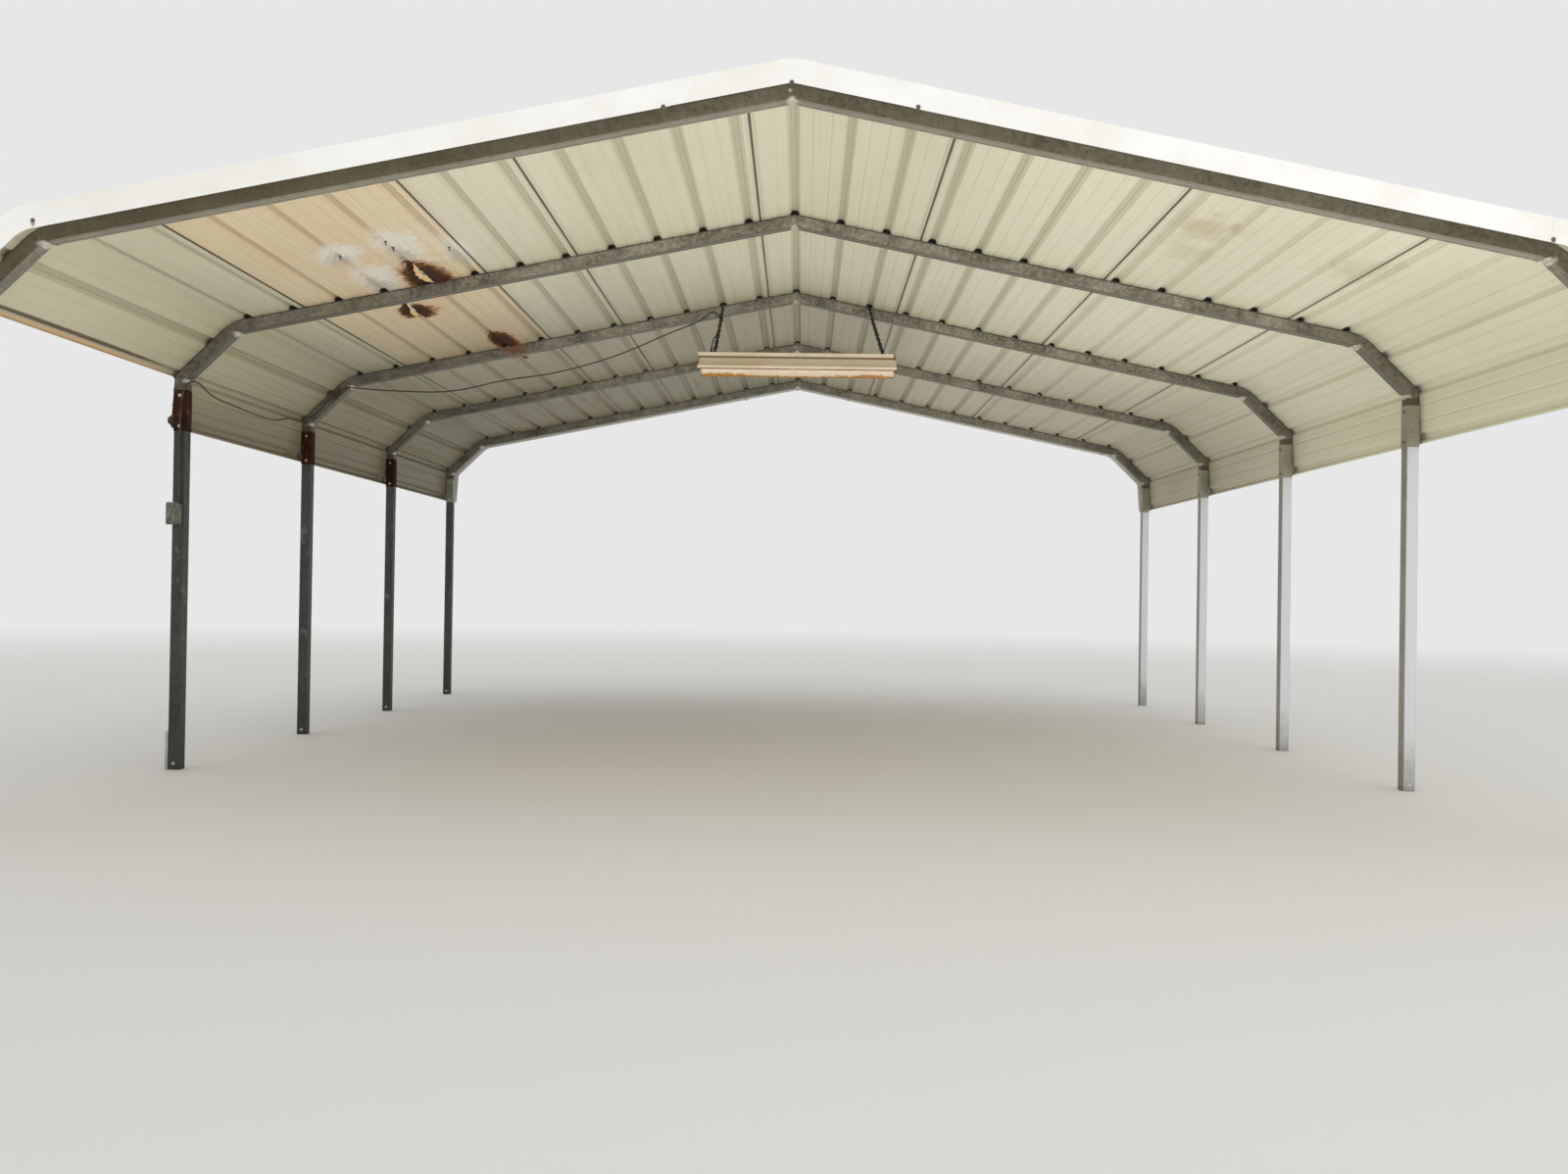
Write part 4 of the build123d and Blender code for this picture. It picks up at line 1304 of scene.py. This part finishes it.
@dataclass
class Cable:
    """Cable from the outlet box over two frames to the lamp, with what holds it."""

    diameter: float = 0.008
    length: float = 5.07
    route: tuple[Triple, ...] = (
        (-3.008, -1.562, 1.312), (-3.008, -1.562, 1.400), (-3.010, -1.563, 1.500), (-3.011, -1.563, 1.600),
        (-3.010, -1.564, 1.700), (-3.007, -1.566, 1.788), (-3.000, -1.569, 1.845), (-2.986, -1.571, 1.885),
        (-2.968, -1.556, 1.911), (-2.960, -1.518, 1.922), (-2.962, -1.466, 1.914), (-2.966, -1.410, 1.896),
        (-2.969, -1.330, 1.879), (-2.971, -1.230, 1.869), (-2.973, -1.118, 1.869), (-2.975, -1.005, 1.864),
        (-2.977, -0.890, 1.861), (-2.979, -0.775, 1.859), (-2.981, -0.662, 1.860), (-2.984, -0.552, 1.867),
        (-2.988, -0.452, 1.887), (-2.992, -0.355, 1.907), (-2.998, -0.255, 1.914), (-3.005, -0.168, 1.917),
        (-3.008, -0.102, 1.921), (-3.004, -0.063, 1.934), (-2.985, -0.043, 1.960), (-2.953, -0.041, 1.990),
        (-2.905, -0.042, 2.039), (-2.862, -0.043, 2.085), (-2.815, -0.044, 2.124), (-2.757, -0.044, 2.146),
        (-2.690, -0.043, 2.144), (-2.600, -0.042, 2.135), (-2.490, -0.042, 2.130), (-2.380, -0.043, 2.127),
        (-2.270, -0.043, 2.124), (-2.162, -0.043, 2.128), (-2.060, -0.044, 2.141), (-1.958, -0.044, 2.163),
        (-1.858, -0.044, 2.190), (-1.750, -0.044, 2.211), (-1.640, -0.044, 2.226), (-1.530, -0.043, 2.243),
        (-1.425, -0.043, 2.267), (-1.320, -0.043, 2.295), (-1.215, -0.043, 2.326), (-1.112, -0.043, 2.361),
        (-1.012, -0.044, 2.400), (-0.912, -0.044, 2.444), (-0.822, -0.044, 2.487), (-0.735, -0.045, 2.524),
        (-0.652, -0.046, 2.556), (-0.590, -0.047, 2.584), (-0.552, -0.048, 2.613), (-0.531, -0.048, 2.634),
        (-0.500, -0.048, 2.637), (-0.474, -0.048, 2.620), (-0.463, -0.048, 2.591), (-0.467, -0.048, 2.551),
        (-0.482, -0.047, 2.508), (-0.506, -0.046, 2.470), (-0.516, -0.045, 2.429), (-0.516, -0.045, 2.3912),
    )
    tie_places: tuple[Triple, ...] = (
        (-3.010, -1.563, 1.500), (-3.007, -1.566, 1.788), (-3.005, -0.085, 1.927),
        (-2.862, -0.043, 2.085), (-0.515, -0.048, 2.640),
    )
    band: float = 0.0012
    tie_head: float = 0.0032
    boot_radii: tuple[float, float] = (0.0105, 0.0052)
    boot_length: float = 0.032
    boot_grooves: Triple = (-0.0069, 0.0023, 0.0114)

    def line(self) -> Piece:
        """Draw the cable's own line as one smooth spline.

        Returns:
            The cable, still without any thickness.
        """
        curve = bpy.data.curves.new("light_cable_line", "CURVE")
        curve.dimensions = "3D"
        spline = curve.splines.new("NURBS")
        spline.points.add(len(self.route) - 1)
        for point, place in zip(spline.points, self.route):
            point.co = (*place, 1.0)
        spline.order_u = 3
        spline.use_endpoint_u = True
        curve.resolution_u = 8
        cable = bpy.data.objects.new("light_cable_line", curve)
        bpy.context.scene.collection.objects.link(cable)
        return cable

    def followed(self, cable: Piece) -> list[Vector]:
        """Read the points of the cable's spline, before it has any thickness.

        Args:
            cable: The cable.

        Returns:
            Its points, from the box to the lamp.
        """
        bpy.context.view_layer.update()
        evaluated = cable.evaluated_get(bpy.context.evaluated_depsgraph_get())
        mesh = bpy.data.meshes.new_from_object(evaluated)
        points = [vertex.co.copy() for vertex in mesh.vertices]
        bpy.data.meshes.remove(mesh)
        return points

    def tie(self) -> Piece:
        """Model one cable tie: a flat band round the cable with its head.

        Returns:
            The tie, with the cable along Z.
        """
        tie = ring("tie_source", self.diameter * 0.62, self.band, 14)

        def at_head(face: Any) -> bool:
            """Say whether a face of the band lies where its head is."""
            middle = face.calc_center_median()
            return middle.x > self.diameter * 0.66 and abs(middle.y) < self.tie_head / 2.0

        pick(tie, "FACE", at_head)
        extrude(self.tie_head, 0.0, 0.0)
        resize(1.0, 1.5, 1.5)
        return settle(tie)

    def boot(self) -> Piece:
        """Model one tapered strain relief with its ring grooves.

        Returns:
            The strain relief, with its wide end at the origin.
        """
        wide, narrow = self.boot_radii
        sizes = {"vertices": 16, "radius1": wide, "radius2": narrow, "depth": self.boot_length}
        middle = (0.0, 0.0, self.boot_length / 2.0)
        boot = begin(bpy.ops.mesh.primitive_cone_add, "boot_source", location=middle, **sizes)
        pick_edges(boot, 2, 0.01)
        bpy.ops.mesh.subdivide(number_cuts=6)

        def in_groove(corner: Any) -> bool:
            """Say whether a point of the strain relief lies at one of its grooves."""
            return any(abs(corner.co.z - level) < 0.002 for level in self.boot_grooves)

        pick(boot, "VERT", in_groove)
        resize(0.86, 0.86, 1.0)
        pick_faces(boot, DOWN)
        extrude(0.0, 0.0, -0.002)
        resize(1.15, 1.15, 1.0)
        return settle(boot, 50.0)

    def build(self, sheath: Material, plastic: Material) -> None:
        """Args:
            sheath: Finish of the cable.
            plastic: Finish of the ties and strain reliefs.
        """
        cable = self.line()
        points = self.followed(cable)
        cable.data.bevel_depth = self.diameter / 2.0
        cable.data.bevel_resolution = 2
        cable.data.use_fill_caps = True
        dressed(cable, sheath)
        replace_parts(cable, "light_cable")
        tie, boot = self.tie(), self.boot()
        places = []
        for wanted in self.tie_places:
            near = min(range(1, len(points) - 1), key=lambda index: (points[index] - Vector(wanted)).length)
            places.append(facing(points[near], points[near + 1] - points[near - 1], 0.6 * near))
        ties = copied(tie, "cable_ties", places, plastic)
        ends = [facing(end, UP) for end in (self.route[0], self.route[-1])]
        boots = copied(boot, "cable_boots", ends, plastic)
        drop(tie, boot)


# ---- Fasteners ----


@dataclass
class HexScrew:
    """Hex-head screw with its washer, modelled once with its Z outwards."""

    washer_radius: float = 0.0082
    washer: float = 0.0014
    head_radius: float = 0.0050
    head: float = 0.0042

    def model(self) -> Piece:
        """Model the screw.

        Returns:
            The screw, with its washer's back at the origin.
        """
        screw = disc("screw_source", 12, self.washer_radius, self.washer, (0.0, 0.0, self.washer / 2.0))
        pick_faces(screw, UP)
        inset(self.washer_radius - self.head_radius, 0.0003)
        extrude(0.0, 0.0, self.head)
        top = self.washer + self.head * 0.5

        def between_corners(corner: Any) -> bool:
            """Say whether a point of the head lies between two corners of the hexagon."""
            turn = round(math.degrees(math.atan2(corner.co.y, corner.co.x)) / 30.0)
            return corner.co.z > top and turn % 2 == 1

        pick(screw, "VERT", between_corners)
        resize(0.88, 0.88, 1.0)
        pick(screw, "FACE", lambda face: face.normal.z > 0.9 and face.calc_center_median().z > top)
        inset(self.head_radius * 0.14, 0.0004)
        return settle(screw, 25.0)


@dataclass
class Fasteners:
    """Screws on the roof, the sleeves, the bends, the feet and the trims."""

    bright: Material
    dull: Material
    over_pans: float = 0.0196
    below_sleeve_top: float = 0.028
    over_sleeve_foot: float = 0.024
    over_ground: float = 0.030
    below_ridge: float = 0.026
    shoulder: tuple[float, float] = (2.842, 2.166)
    ridge_cap_end: float = 0.48
    shoulder_cap_start: float = 2.67
    tip_radius: float = 0.0036
    tip_length: float = 0.012
    tip_places: tuple[tuple[float, float], ...] = (
        (-1.772, -2.245), (-1.770, -2.153), (-1.997, -2.174), (-1.562, -2.014),
    )

    def sleeves(self, screw: Piece) -> None:
        """Two screws on two faces of each sleeve, the upper in the bow and the lower in the post.

        Args:
            screw: The screw that is copied.
        """
        for side in Side:
            places = []
            for number in FRAME_NUMBERS:
                low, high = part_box(f"sleeve_{side.word}_{number}")
                middle = (low + high) / 2.0
                spins = (0.3 * number, 0.2 * number)
                for height in (high.z - self.below_sleeve_top, low.z + self.over_sleeve_foot):
                    if side is Side.LEFT:
                        places += front_and_back(middle.x, height, low.y, high.y, spins)
                    else:
                        places.append(facing((low.x, middle.y, height), LEFT, spins[0]))
                        places.append(facing((high.x, middle.y, height), RIGHT, spins[1]))
            finish = self.bright if side is Side.LEFT else self.dull
            copied(screw, f"sleeve_screws_{side.word}", places, finish)

    def bends(self, screw: Piece) -> None:
        """Screws on the front and rear faces of each bow, at the ridge and the shoulders.

        Args:
            screw: The screw that is copied.
        """
        for number in FRAME_NUMBERS:
            low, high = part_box(f"bow_{number}")
            places = []
            across, level = self.shoulder
            for x, z in ((-0.008, high.z - self.below_ridge), (-across, level), (across, level)):
                places += front_and_back(x, z, low.y, high.y, (0.4 * number, 0.1 * number))
            copied(screw, f"bend_screws_{number}", places, self.bright)

    def feet(self, screw: Piece) -> None:
        """One screw low on the front of each post.

        Args:
            screw: The screw that is copied.
        """
        places = []
        for side in Side:
            for number in FRAME_NUMBERS:
                low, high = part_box(f"post_{side.word}_{number}")
                places.append(facing(((low.x + high.x) / 2.0, low.y, self.over_ground), FRONT, 0.5 * number))
        copied(screw, "foot_screws", places, self.bright)

    def trims(self, screw: Piece) -> None:
        """Screws through the front and rear trim, in its caps near the ridge and the shoulders.

        Args:
            screw: The screw that is copied.
        """
        caps, runs = (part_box(node)[0].y for node in ("front_trim_caps", "front_trim_runs"))
        places = []
        for x, z in TRIM_SCREWS:
            face = caps if abs(x) < self.ridge_cap_end or abs(x) > self.shoulder_cap_start else runs
            places += front_and_back(x, z, face, -face, (x, x))
        copied(screw, "trim_screws", places, self.dull)

    def roof(self, screw: Piece) -> None:
        """One screw through each rib's crest over each bow, but none where the first bay's skirt is cut.

        Args:
            screw: The screw that is copied.
        """
        spots = [(x, z, SLOPE) for x, z in RIB_PLACES]
        spots += [(face.across, face.height, face) for face in (SHOULDER, SKIRT)]
        for side in Side:
            places = []
            for x, z, face in spots:
                outward = face.outward(side.value)
                for number, along in zip(FRAME_NUMBERS, BOW_PLACES):
                    if side is Side.LEFT and number == 1 and face is SKIRT:
                        continue
                    spot = Vector((side.value * x, along, z)) + outward * self.over_pans
                    places.append(facing(spot, outward, number + 9.0 * x))
            copied(screw, f"roof_screws_{side.word}", places, self.dull)

    def tips(self) -> None:
        """Points of old screws that come through the sheets in the smears of sealant."""
        tip = disc("tip_source", 10, self.tip_radius, self.tip_length, (0.0, 0.0, self.tip_length / 2.0))
        pick_faces(tip, UP)
        extrude(0.0, 0.0, 0.008)
        resize(0.15, 0.15, 1.0)
        pick_faces(tip, DOWN)
        extrude(0.0, 0.0, -0.0012)
        resize(2.4, 2.4, 1.0)
        settle(tip, 30.0)
        inward = -SLOPE.outward(-1)
        places = []
        for x, y in self.tip_places:
            over_pan = 0.0006 if abs(x) < 1.6 else -0.001
            places.append(facing(Vector((x, y, SLOPE.level(x))) - inward * over_pan, inward, 30.0 * y))
        copied(tip, "sealed_screw_tips", places, self.dull)
        drop(tip)

    def build(self) -> None:
        """Place every group of screws."""
        screw = HexScrew().model()
        self.roof(screw)
        self.tips()
        self.sleeves(screw)
        self.bends(screw)
        self.feet(screw)
        self.trims(screw)
        drop(screw)


@dataclass
class LampChains:
    """Jack chain over the middle bow that carries the lamp on both sides."""

    wire: float = 0.0060
    link_width: float = 0.0190
    link_length: float = 0.0290
    half_hanger: float = 0.0015
    clearance: float = 0.004

    def link(self) -> Piece:
        """Model one long link.

        Returns:
            The link, lying along X.
        """
        link = ring("link_source", (self.link_width - self.wire) / 2.0, self.wire / 2.0, 12)
        stretch = (self.link_length - self.link_width) / 2.0
        for way in (1.0, -1.0):
            pick(link, "VERT", lambda corner: way * corner.co.x > 0.0001)
            bpy.ops.transform.translate(value=(way * stretch, 0.0, 0.0))
        return settle(link, 60.0)

    def strand(self, corners: Sequence[Vector]) -> list[Matrix]:
        """Places of the links along a run of straight lines.

        Args:
            corners: The line's corners.

        Returns:
            One place for each link, turned a quarter after each other.
        """
        pitch = self.link_length - 2.0 * self.wire
        places: list[Matrix] = []
        for start, end in zip(corners, corners[1:]):
            run = end - start
            count = max(1, round(run.length / pitch))
            along = run.normalized().to_track_quat("X", "Z").to_matrix().to_4x4()
            for index in range(count):
                turn = len(places)
                spin = Matrix.Rotation(math.radians(90.0 * (turn % 2) + 7.0 * math.sin(turn * 1.7)), 4, "X")
                places.append(Matrix.Translation(start + run * ((index + 0.5) / count)) @ along @ spin)
        return places

    def build(self, steel: Material) -> None:
        """Hang both chains in the place of the built hangers.

        Args:
            steel: Finish of the links.
        """
        link = self.link()
        for side in Side:
            node = f"hanger_{side.word}"
            low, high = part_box(node)
            foot_x, top_x = (low.x, high.x) if side is Side.LEFT else (high.x, low.x)
            foot_x -= self.half_hanger * side.value
            top_x += self.half_hanger * side.value
            near = high.y - self.half_hanger
            top = high.z - self.half_hanger - self.clearance
            foot = low.z + self.half_hanger + self.clearance
            line = ((foot_x, -near, foot), (top_x, -near, top), (top_x, near, top), (foot_x, near, foot))
            places = self.strand([Vector(corner) for corner in line])
            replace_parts(copied(link, f"chain_{side.word}", places, steel), node)
        drop(link)


# ---- Torn roof, outlet box and lamp ----


@dataclass(frozen=True)
class TornStrip:
    """Strip of rusted sheet that still hangs in one hole of the roof."""

    name: str
    middle: tuple[float, float]
    length: float
    width: float
    bow: float
    hang: float = 0.009
    rows: int = 16
    thickness: float = 0.0006
    below_pans: float = 0.0002

    def model(self, material: Material) -> None:
        """Model the strip: bent along its length, ragged at its sides and thin.

        Args:
            material: Its finish.
        """
        sizes = {"x_subdivisions": 3, "y_subdivisions": self.rows, "size": 1.0}
        strip = begin(bpy.ops.mesh.primitive_grid_add, self.name, **sizes)
        strip.scale = (self.width, self.length, 1.0)
        settle(strip)
        for row in range(self.rows + 1):
            level = (row / self.rows - 0.5) * self.length
            pick(strip, "VERT", lambda corner: abs(corner.co.y - level) < self.length / (4.0 * self.rows))
            full = 1.0 - (2.0 * level / self.length) ** 2
            narrow = max(0.12, full * (0.84 + 0.16 * math.sin(row * 2.3)))
            resize(narrow, 1.0, 1.0, center_override=(0.0, level, 0.0))
            aside = -self.bow * full + 0.0016 * math.sin(row * 1.9)
            bpy.ops.transform.translate(value=(aside, 0.0, -self.hang * full - 0.0008))
        take(strip)
        solid = strip.modifiers.new("thickness", "SOLIDIFY")
        solid.thickness = self.thickness
        solid.offset = 1.0
        bpy.ops.object.modifier_apply(modifier=solid.name)
        x, y = self.middle
        spot = Vector((x, y, SLOPE.level(x))) - SLOPE.outward(-1) * self.below_pans
        strip.matrix_world = Matrix.Translation(spot) @ Matrix.Rotation(-SLOPE.lean, 4, "Y")
        dressed(settle(strip), material)


@dataclass
class OutletCover:
    """Weather cover on the outlet box: plate, hinge and screw."""

    thickness: float = 0.003
    share_wide: float = 0.80
    share_high: float = 0.84
    stand_off: float = 0.0016
    hinge_radius: float = 0.0026
    hinge_share: float = 0.72
    hinge_below_top: float = 0.016
    screw_radius: float = 0.0036
    screw_depth: float = 0.0026

    def build(self, metal: Material) -> None:
        """Model the cover on the box's front.

        Args:
            metal: Its finish.
        """
        low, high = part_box("outlet_box")
        middle = (low + high) / 2.0
        wide, tall = (high.x - low.x) * self.share_wide, (high.z - low.z) * self.share_high
        place = (middle.x, low.y - self.thickness / 2.0, middle.z)
        plate = block("box_cover", place, (wide, self.thickness, tall))
        pick_edges(plate, 1, self.thickness * 0.5)
        bevel(0.003)
        pick_faces(plate, FRONT)
        inset(0.0035)
        extrude(0.0, -0.0018, 0.0)
        inset(0.0030, -0.0006)
        dressed(settle(plate, 25.0), metal)
        front = low.y - self.thickness - self.stand_off
        place = (middle.x, front, high.z - self.hinge_below_top)
        hinge = disc("box_hinge", 14, self.hinge_radius, wide * self.hinge_share, place, (0.0, QUARTER, 0.0))
        pick(hinge, "FACE", lambda face: abs(face.normal.x) > 0.9)
        inset(0.0007, -0.0008)
        dressed(settle(hinge, 40.0), metal)
        place = (middle.x, front - 0.0006, middle.z - 0.002)
        screw = disc("box_screw", 16, self.screw_radius, self.screw_depth, place, (QUARTER, 0.0, 0.0))
        pick_faces(screw, FRONT)
        inset(0.0012, -0.0005)
        dressed(settle(screw, 40.0), metal)


@dataclass
class LampDetails:
    """Small parts of the tube lamp: ballast cover, tube caps, end plates and hooks."""

    enamel: Material
    metal: Material
    steel: Material
    cover_width: float = 0.040
    cover_drop: float = 0.013
    cover_screws: Triple = (-0.36, 0.0, 0.36)
    cap_radius: float = 0.0194
    cap_depth: float = 0.013
    cap_inset: float = 0.019
    plate: Triple = (0.024, 0.104, 0.0008)
    knock_radius: float = 0.0085
    knock_places: tuple[float, float] = (-0.030, 0.030)
    hook_rise: float = 0.0052
    hook_radius: float = 0.0058
    hook_wire: float = 0.0013

    def ballast_cover(self) -> None:
        """Tapered cover along the middle between the two tubes, with its three screws."""
        low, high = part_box("light_housing")
        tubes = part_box("light_lamps")
        length, drop_by = tubes[1].x - tubes[0].x - 0.02, self.cover_drop
        middle = (low.x + high.x) / 2.0
        size = (length, self.cover_width, drop_by)
        cover = block("ballast_cover", (middle, 0.0, low.z - drop_by / 2.0), size)
        pick_faces(cover, DOWN)
        resize(0.996, 0.62, 1.0)
        pick_low_edges(cover, low.z - drop_by * 0.5)
        bevel(0.0025)
        dressed(settle(cover, 40.0), self.enamel)
        knob = disc("knob_source", 12, 0.005, 0.004, (0.0, 0.0, 0.002))
        pick_faces(knob, UP)
        inset(0.0014, 0.0012)
        settle(knob, 40.0)
        spots = [(middle + share * length, 0.0, low.z - drop_by) for share in self.cover_screws]
        places = [facing(spot, DOWN) for spot in spots]
        copied(knob, "ballast_cover_screws", places, self.metal)
        drop(knob)

    def tube_caps(self) -> None:
        """Metal caps with their crimped rim over both ends of the tubes."""
        low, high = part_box("light_lamps")
        cap = disc("cap_source", 28, self.cap_radius, self.cap_depth, (0.0, 0.0, self.cap_depth / 2.0))
        pick_low_edges(cap, 0.001)
        bevel(0.002)
        pick_faces(cap, UP)
        inset(0.0006)
        extrude(0.0, 0.0, -0.0008)
        settle(cap, 40.0)
        middle_z = (low.z + high.z) / 2.0
        places = []
        for y in (low.y + self.cap_inset, high.y - self.cap_inset):
            places.append(facing((low.x + 0.0002, y, middle_z), RIGHT))
            places.append(facing((high.x - 0.0002, y, middle_z), LEFT))
        copied(cap, "tube_caps", places, self.metal)
        drop(cap)

    def end_plates(self) -> None:
        """Folded tab with two knock-outs at both ends of the housing."""
        low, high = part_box("light_housing")
        plate = block("plate_source", (0.0, 0.0, self.plate[2] / 2.0), self.plate)
        pick_edges(plate, 2, 0.0005)
        bevel(0.004)
        pick_faces(plate, UP)
        inset(0.0016)
        inset(0.0006, -0.0004)
        settle(plate, 30.0)
        knock = disc("knock_source", 18, self.knock_radius, 0.0010, (0.0, 0.0, 0.0011))
        pick_faces(knock, UP)
        inset(0.0018, -0.0006)
        settle(knock, 40.0)
        level = (low.z + high.z) / 2.0
        plates, knocks = [], []
        for x, way in ((low.x, -1.0), (high.x, 1.0)):
            turn = Matrix.Translation((x, 0.0, level)) @ Matrix.Rotation(way * QUARTER, 4, "Y")
            plates.append(turn)
            knocks += [turn @ Matrix.Translation((0.0, y, 0.0)) for y in self.knock_places]
        copied(plate, "light_end_plates", plates, self.enamel)
        copied(knock, "light_knock_outs", knocks, self.enamel)
        drop(plate, knock)

    def hooks(self) -> None:
        """Open wire hook under each chain's end, set in the top of the housing."""
        hook = ring("hook_source", self.hook_radius, self.hook_wire, 14)

        def in_mouth(face: Any) -> bool:
            """Say whether a face of the ring lies where the hook is open."""
            middle = face.calc_center_median()
            return middle.x < -0.0035 and middle.y < -0.0002

        pick(hook, "FACE", in_mouth)
        bpy.ops.mesh.delete(type="FACE")
        bpy.ops.mesh.select_mode(type="EDGE")
        bpy.ops.mesh.select_all(action="DESELECT")
        bpy.ops.mesh.select_non_manifold()
        bpy.ops.mesh.edge_face_add()
        settle(hook, 60.0)
        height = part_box("light_housing")[1].z + self.hook_rise
        places = []
        for side in Side:
            low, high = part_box(f"hanger_{side.word}")
            x = low.x if side is Side.LEFT else high.x
            for y in (low.y + 0.0015, high.y - 0.0015):
                places.append(Matrix.Translation((x, y, height)) @ Matrix.Rotation(QUARTER, 4, "X"))
        copied(hook, "light_hooks", places, self.steel)
        drop(hook)

    def build(self) -> None:
        """Model every small part."""
        self.ballast_cover()
        self.tube_caps()
        self.end_plates()
        self.hooks()


# ---- The whole carport ----


def numbered(*stems: str) -> list[str]:
    """Names of the nodes of all five frames."""
    return [f"{stem}_{number}" for stem in stems for number in FRAME_NUMBERS]


def dress_frame(effects: Effects) -> None:
    """Put the zinc and the rust on the tubes.

    Args:
        effects: The shared node groups.
    """
    bows = Zinc(
        "zinc_bows", tone(184, 180, 164), tone(84, 81, 70), spangle=70.0, is_bow=True, marks=BOW_STAINS_AND_LIGHT,
    )
    # Two copies of one galvanised zinc: the left posts darkened with painted shade, with darker mud at their
    # feet; the right posts with painted sunlight on their front faces.
    left = Zinc("zinc_left_posts_shaded", tone(78, 80, 75), tone(38, 40, 36), mud=tone(62, 60, 54))
    right = Zinc("zinc_right_posts_sunlit_fronts", tone(160, 156, 144), tone(120, 115, 103), sunlit_fronts=tone(224, 230, 234))
    sleeves = Zinc("zinc_sleeves", tone(170, 168, 150), tone(126, 124, 108))
    coat(numbered("bow"), bows.build(effects))
    coat(numbered("post_left"), left.build(effects))
    coat([*numbered("post_right"), "foot_angle_left"], right.build(effects))
    coat([*numbered("sleeve_right"), "sleeve_left_1", "sleeve_left_5"], sleeves.build(effects))
    rusty = RustySteel("rusty_sleeves", 0.25).build(effects)
    coat(["sleeve_left_2", "sleeve_left_3", "sleeve_left_4"], rusty)


def dress_roof(effects: Effects) -> None:
    """Put the paint on the sheets and the trims.

    Args:
        effects: The shared node groups.
    """
    cream = Paint(
        "cream_paint", tone(217, 212, 188), tone(207, 201, 177), tone(168, 160, 134), tone(118, 110, 86),
        marks=ROOF_STAINS_AND_LAP_SHADOW,
    )
    tan = Paint(
        "tan_paint", tone(228, 210, 177), tone(219, 199, 164), tone(166, 142, 106), tone(122, 102, 74),
        faded=tone(196, 187, 150), marks=ROOF_STAINS_AND_LAP_SHADOW,
    )
    white = Coating(
        "white_trim_paint", tone(247, 246, 242), tone(238, 236, 228),
        rough=0.35, grain=3.0, streak=(9.0, 9.0, 3.0), marks=TRIM_STAINS,
    )
    coat(CREAM_SHEETS, cream.build(effects))
    coat(["sheet_left_lower"], tan.build(effects))
    coat(TRIM_NODES, white.build(effects))


def main() -> None:
    """Dress the carport, part by part."""
    logging.basicConfig(level=logging.INFO, format="%(name)s: %(message)s")
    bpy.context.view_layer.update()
    PhotoCamera().build()
    Studio().build()
    effects = Effects()

    sheath = Coating("cable_sheath", tone(46, 42, 38), tone(70, 64, 56), rough=0.6)
    plastic = Coating("tie_plastic", tone(34, 33, 32), tone(60, 58, 54), rough=0.5)
    Cable().build(sheath.build(effects), plastic.build(effects))
    dress_frame(effects)
    dress_roof(effects)

    box_metal = Coating(
        "box_metal", tone(134, 131, 122), tone(94, 91, 84), rough=0.5, metallic=0.3, rust=0.06,
    ).build(effects)
    coat(["outlet_box"], box_metal)
    OutletCover().build(box_metal)

    enamel = Coating(
        "aged_enamel", tone(255, 242, 220), tone(247, 227, 198), rough=0.38, coat=0.2, rust=0.05, grain=5.0,
        streak=(2.0, 30.0, 30.0), marks=LAMP_STAINS_AND_GROOVE_SHADE,
    ).build(effects)
    holders = Coating("holder_plastic", tone(232, 230, 220), tone(206, 200, 182), rough=0.45)
    glass = Coating("lamp_glass", tone(240, 242, 240), tone(228, 230, 226), rough=0.12, coat=0.6)
    coat(["light_housing", "light_reflector"], enamel)
    coat(["light_holders"], holders.build(effects))
    coat(["light_lamps"], glass.build(effects))

    bright_steel = Coating(
        "screw_bright", tone(206, 206, 200), tone(160, 156, 146), rough=0.35, metallic=0.6, grain=60.0,
    )
    dull_steel = Coating(
        "screw_dull", tone(120, 112, 98), tone(84, 70, 54), rough=0.6, metallic=0.4, grain=60.0,
    )
    chain_steel = Coating(
        "chain_steel", tone(34, 29, 24), tone(20, 17, 15), rough=0.65, metallic=0.2, grain=60.0,
    )
    torn_sheet = Coating(
        "torn_sheet", tone(236, 206, 156), tone(218, 178, 122), rough=0.8, grain=30.0, marks=TORN_STAINS,
    )
    bright, steel, torn = (finish.build(effects) for finish in (bright_steel, chain_steel, torn_sheet))
    Fasteners(bright, dull_steel.build(effects)).build()
    LampChains().build(steel)
    LampDetails(enamel, bright, steel).build()
    TornStrip("torn_strip_front", (-1.7670, -1.710), 0.340, 0.046, 0.014).model(torn)
    TornStrip("torn_strip_rear", (-1.9920, -1.125), 0.200, 0.036, 0.012).model(torn)


if __name__ == "__main__":
    main()
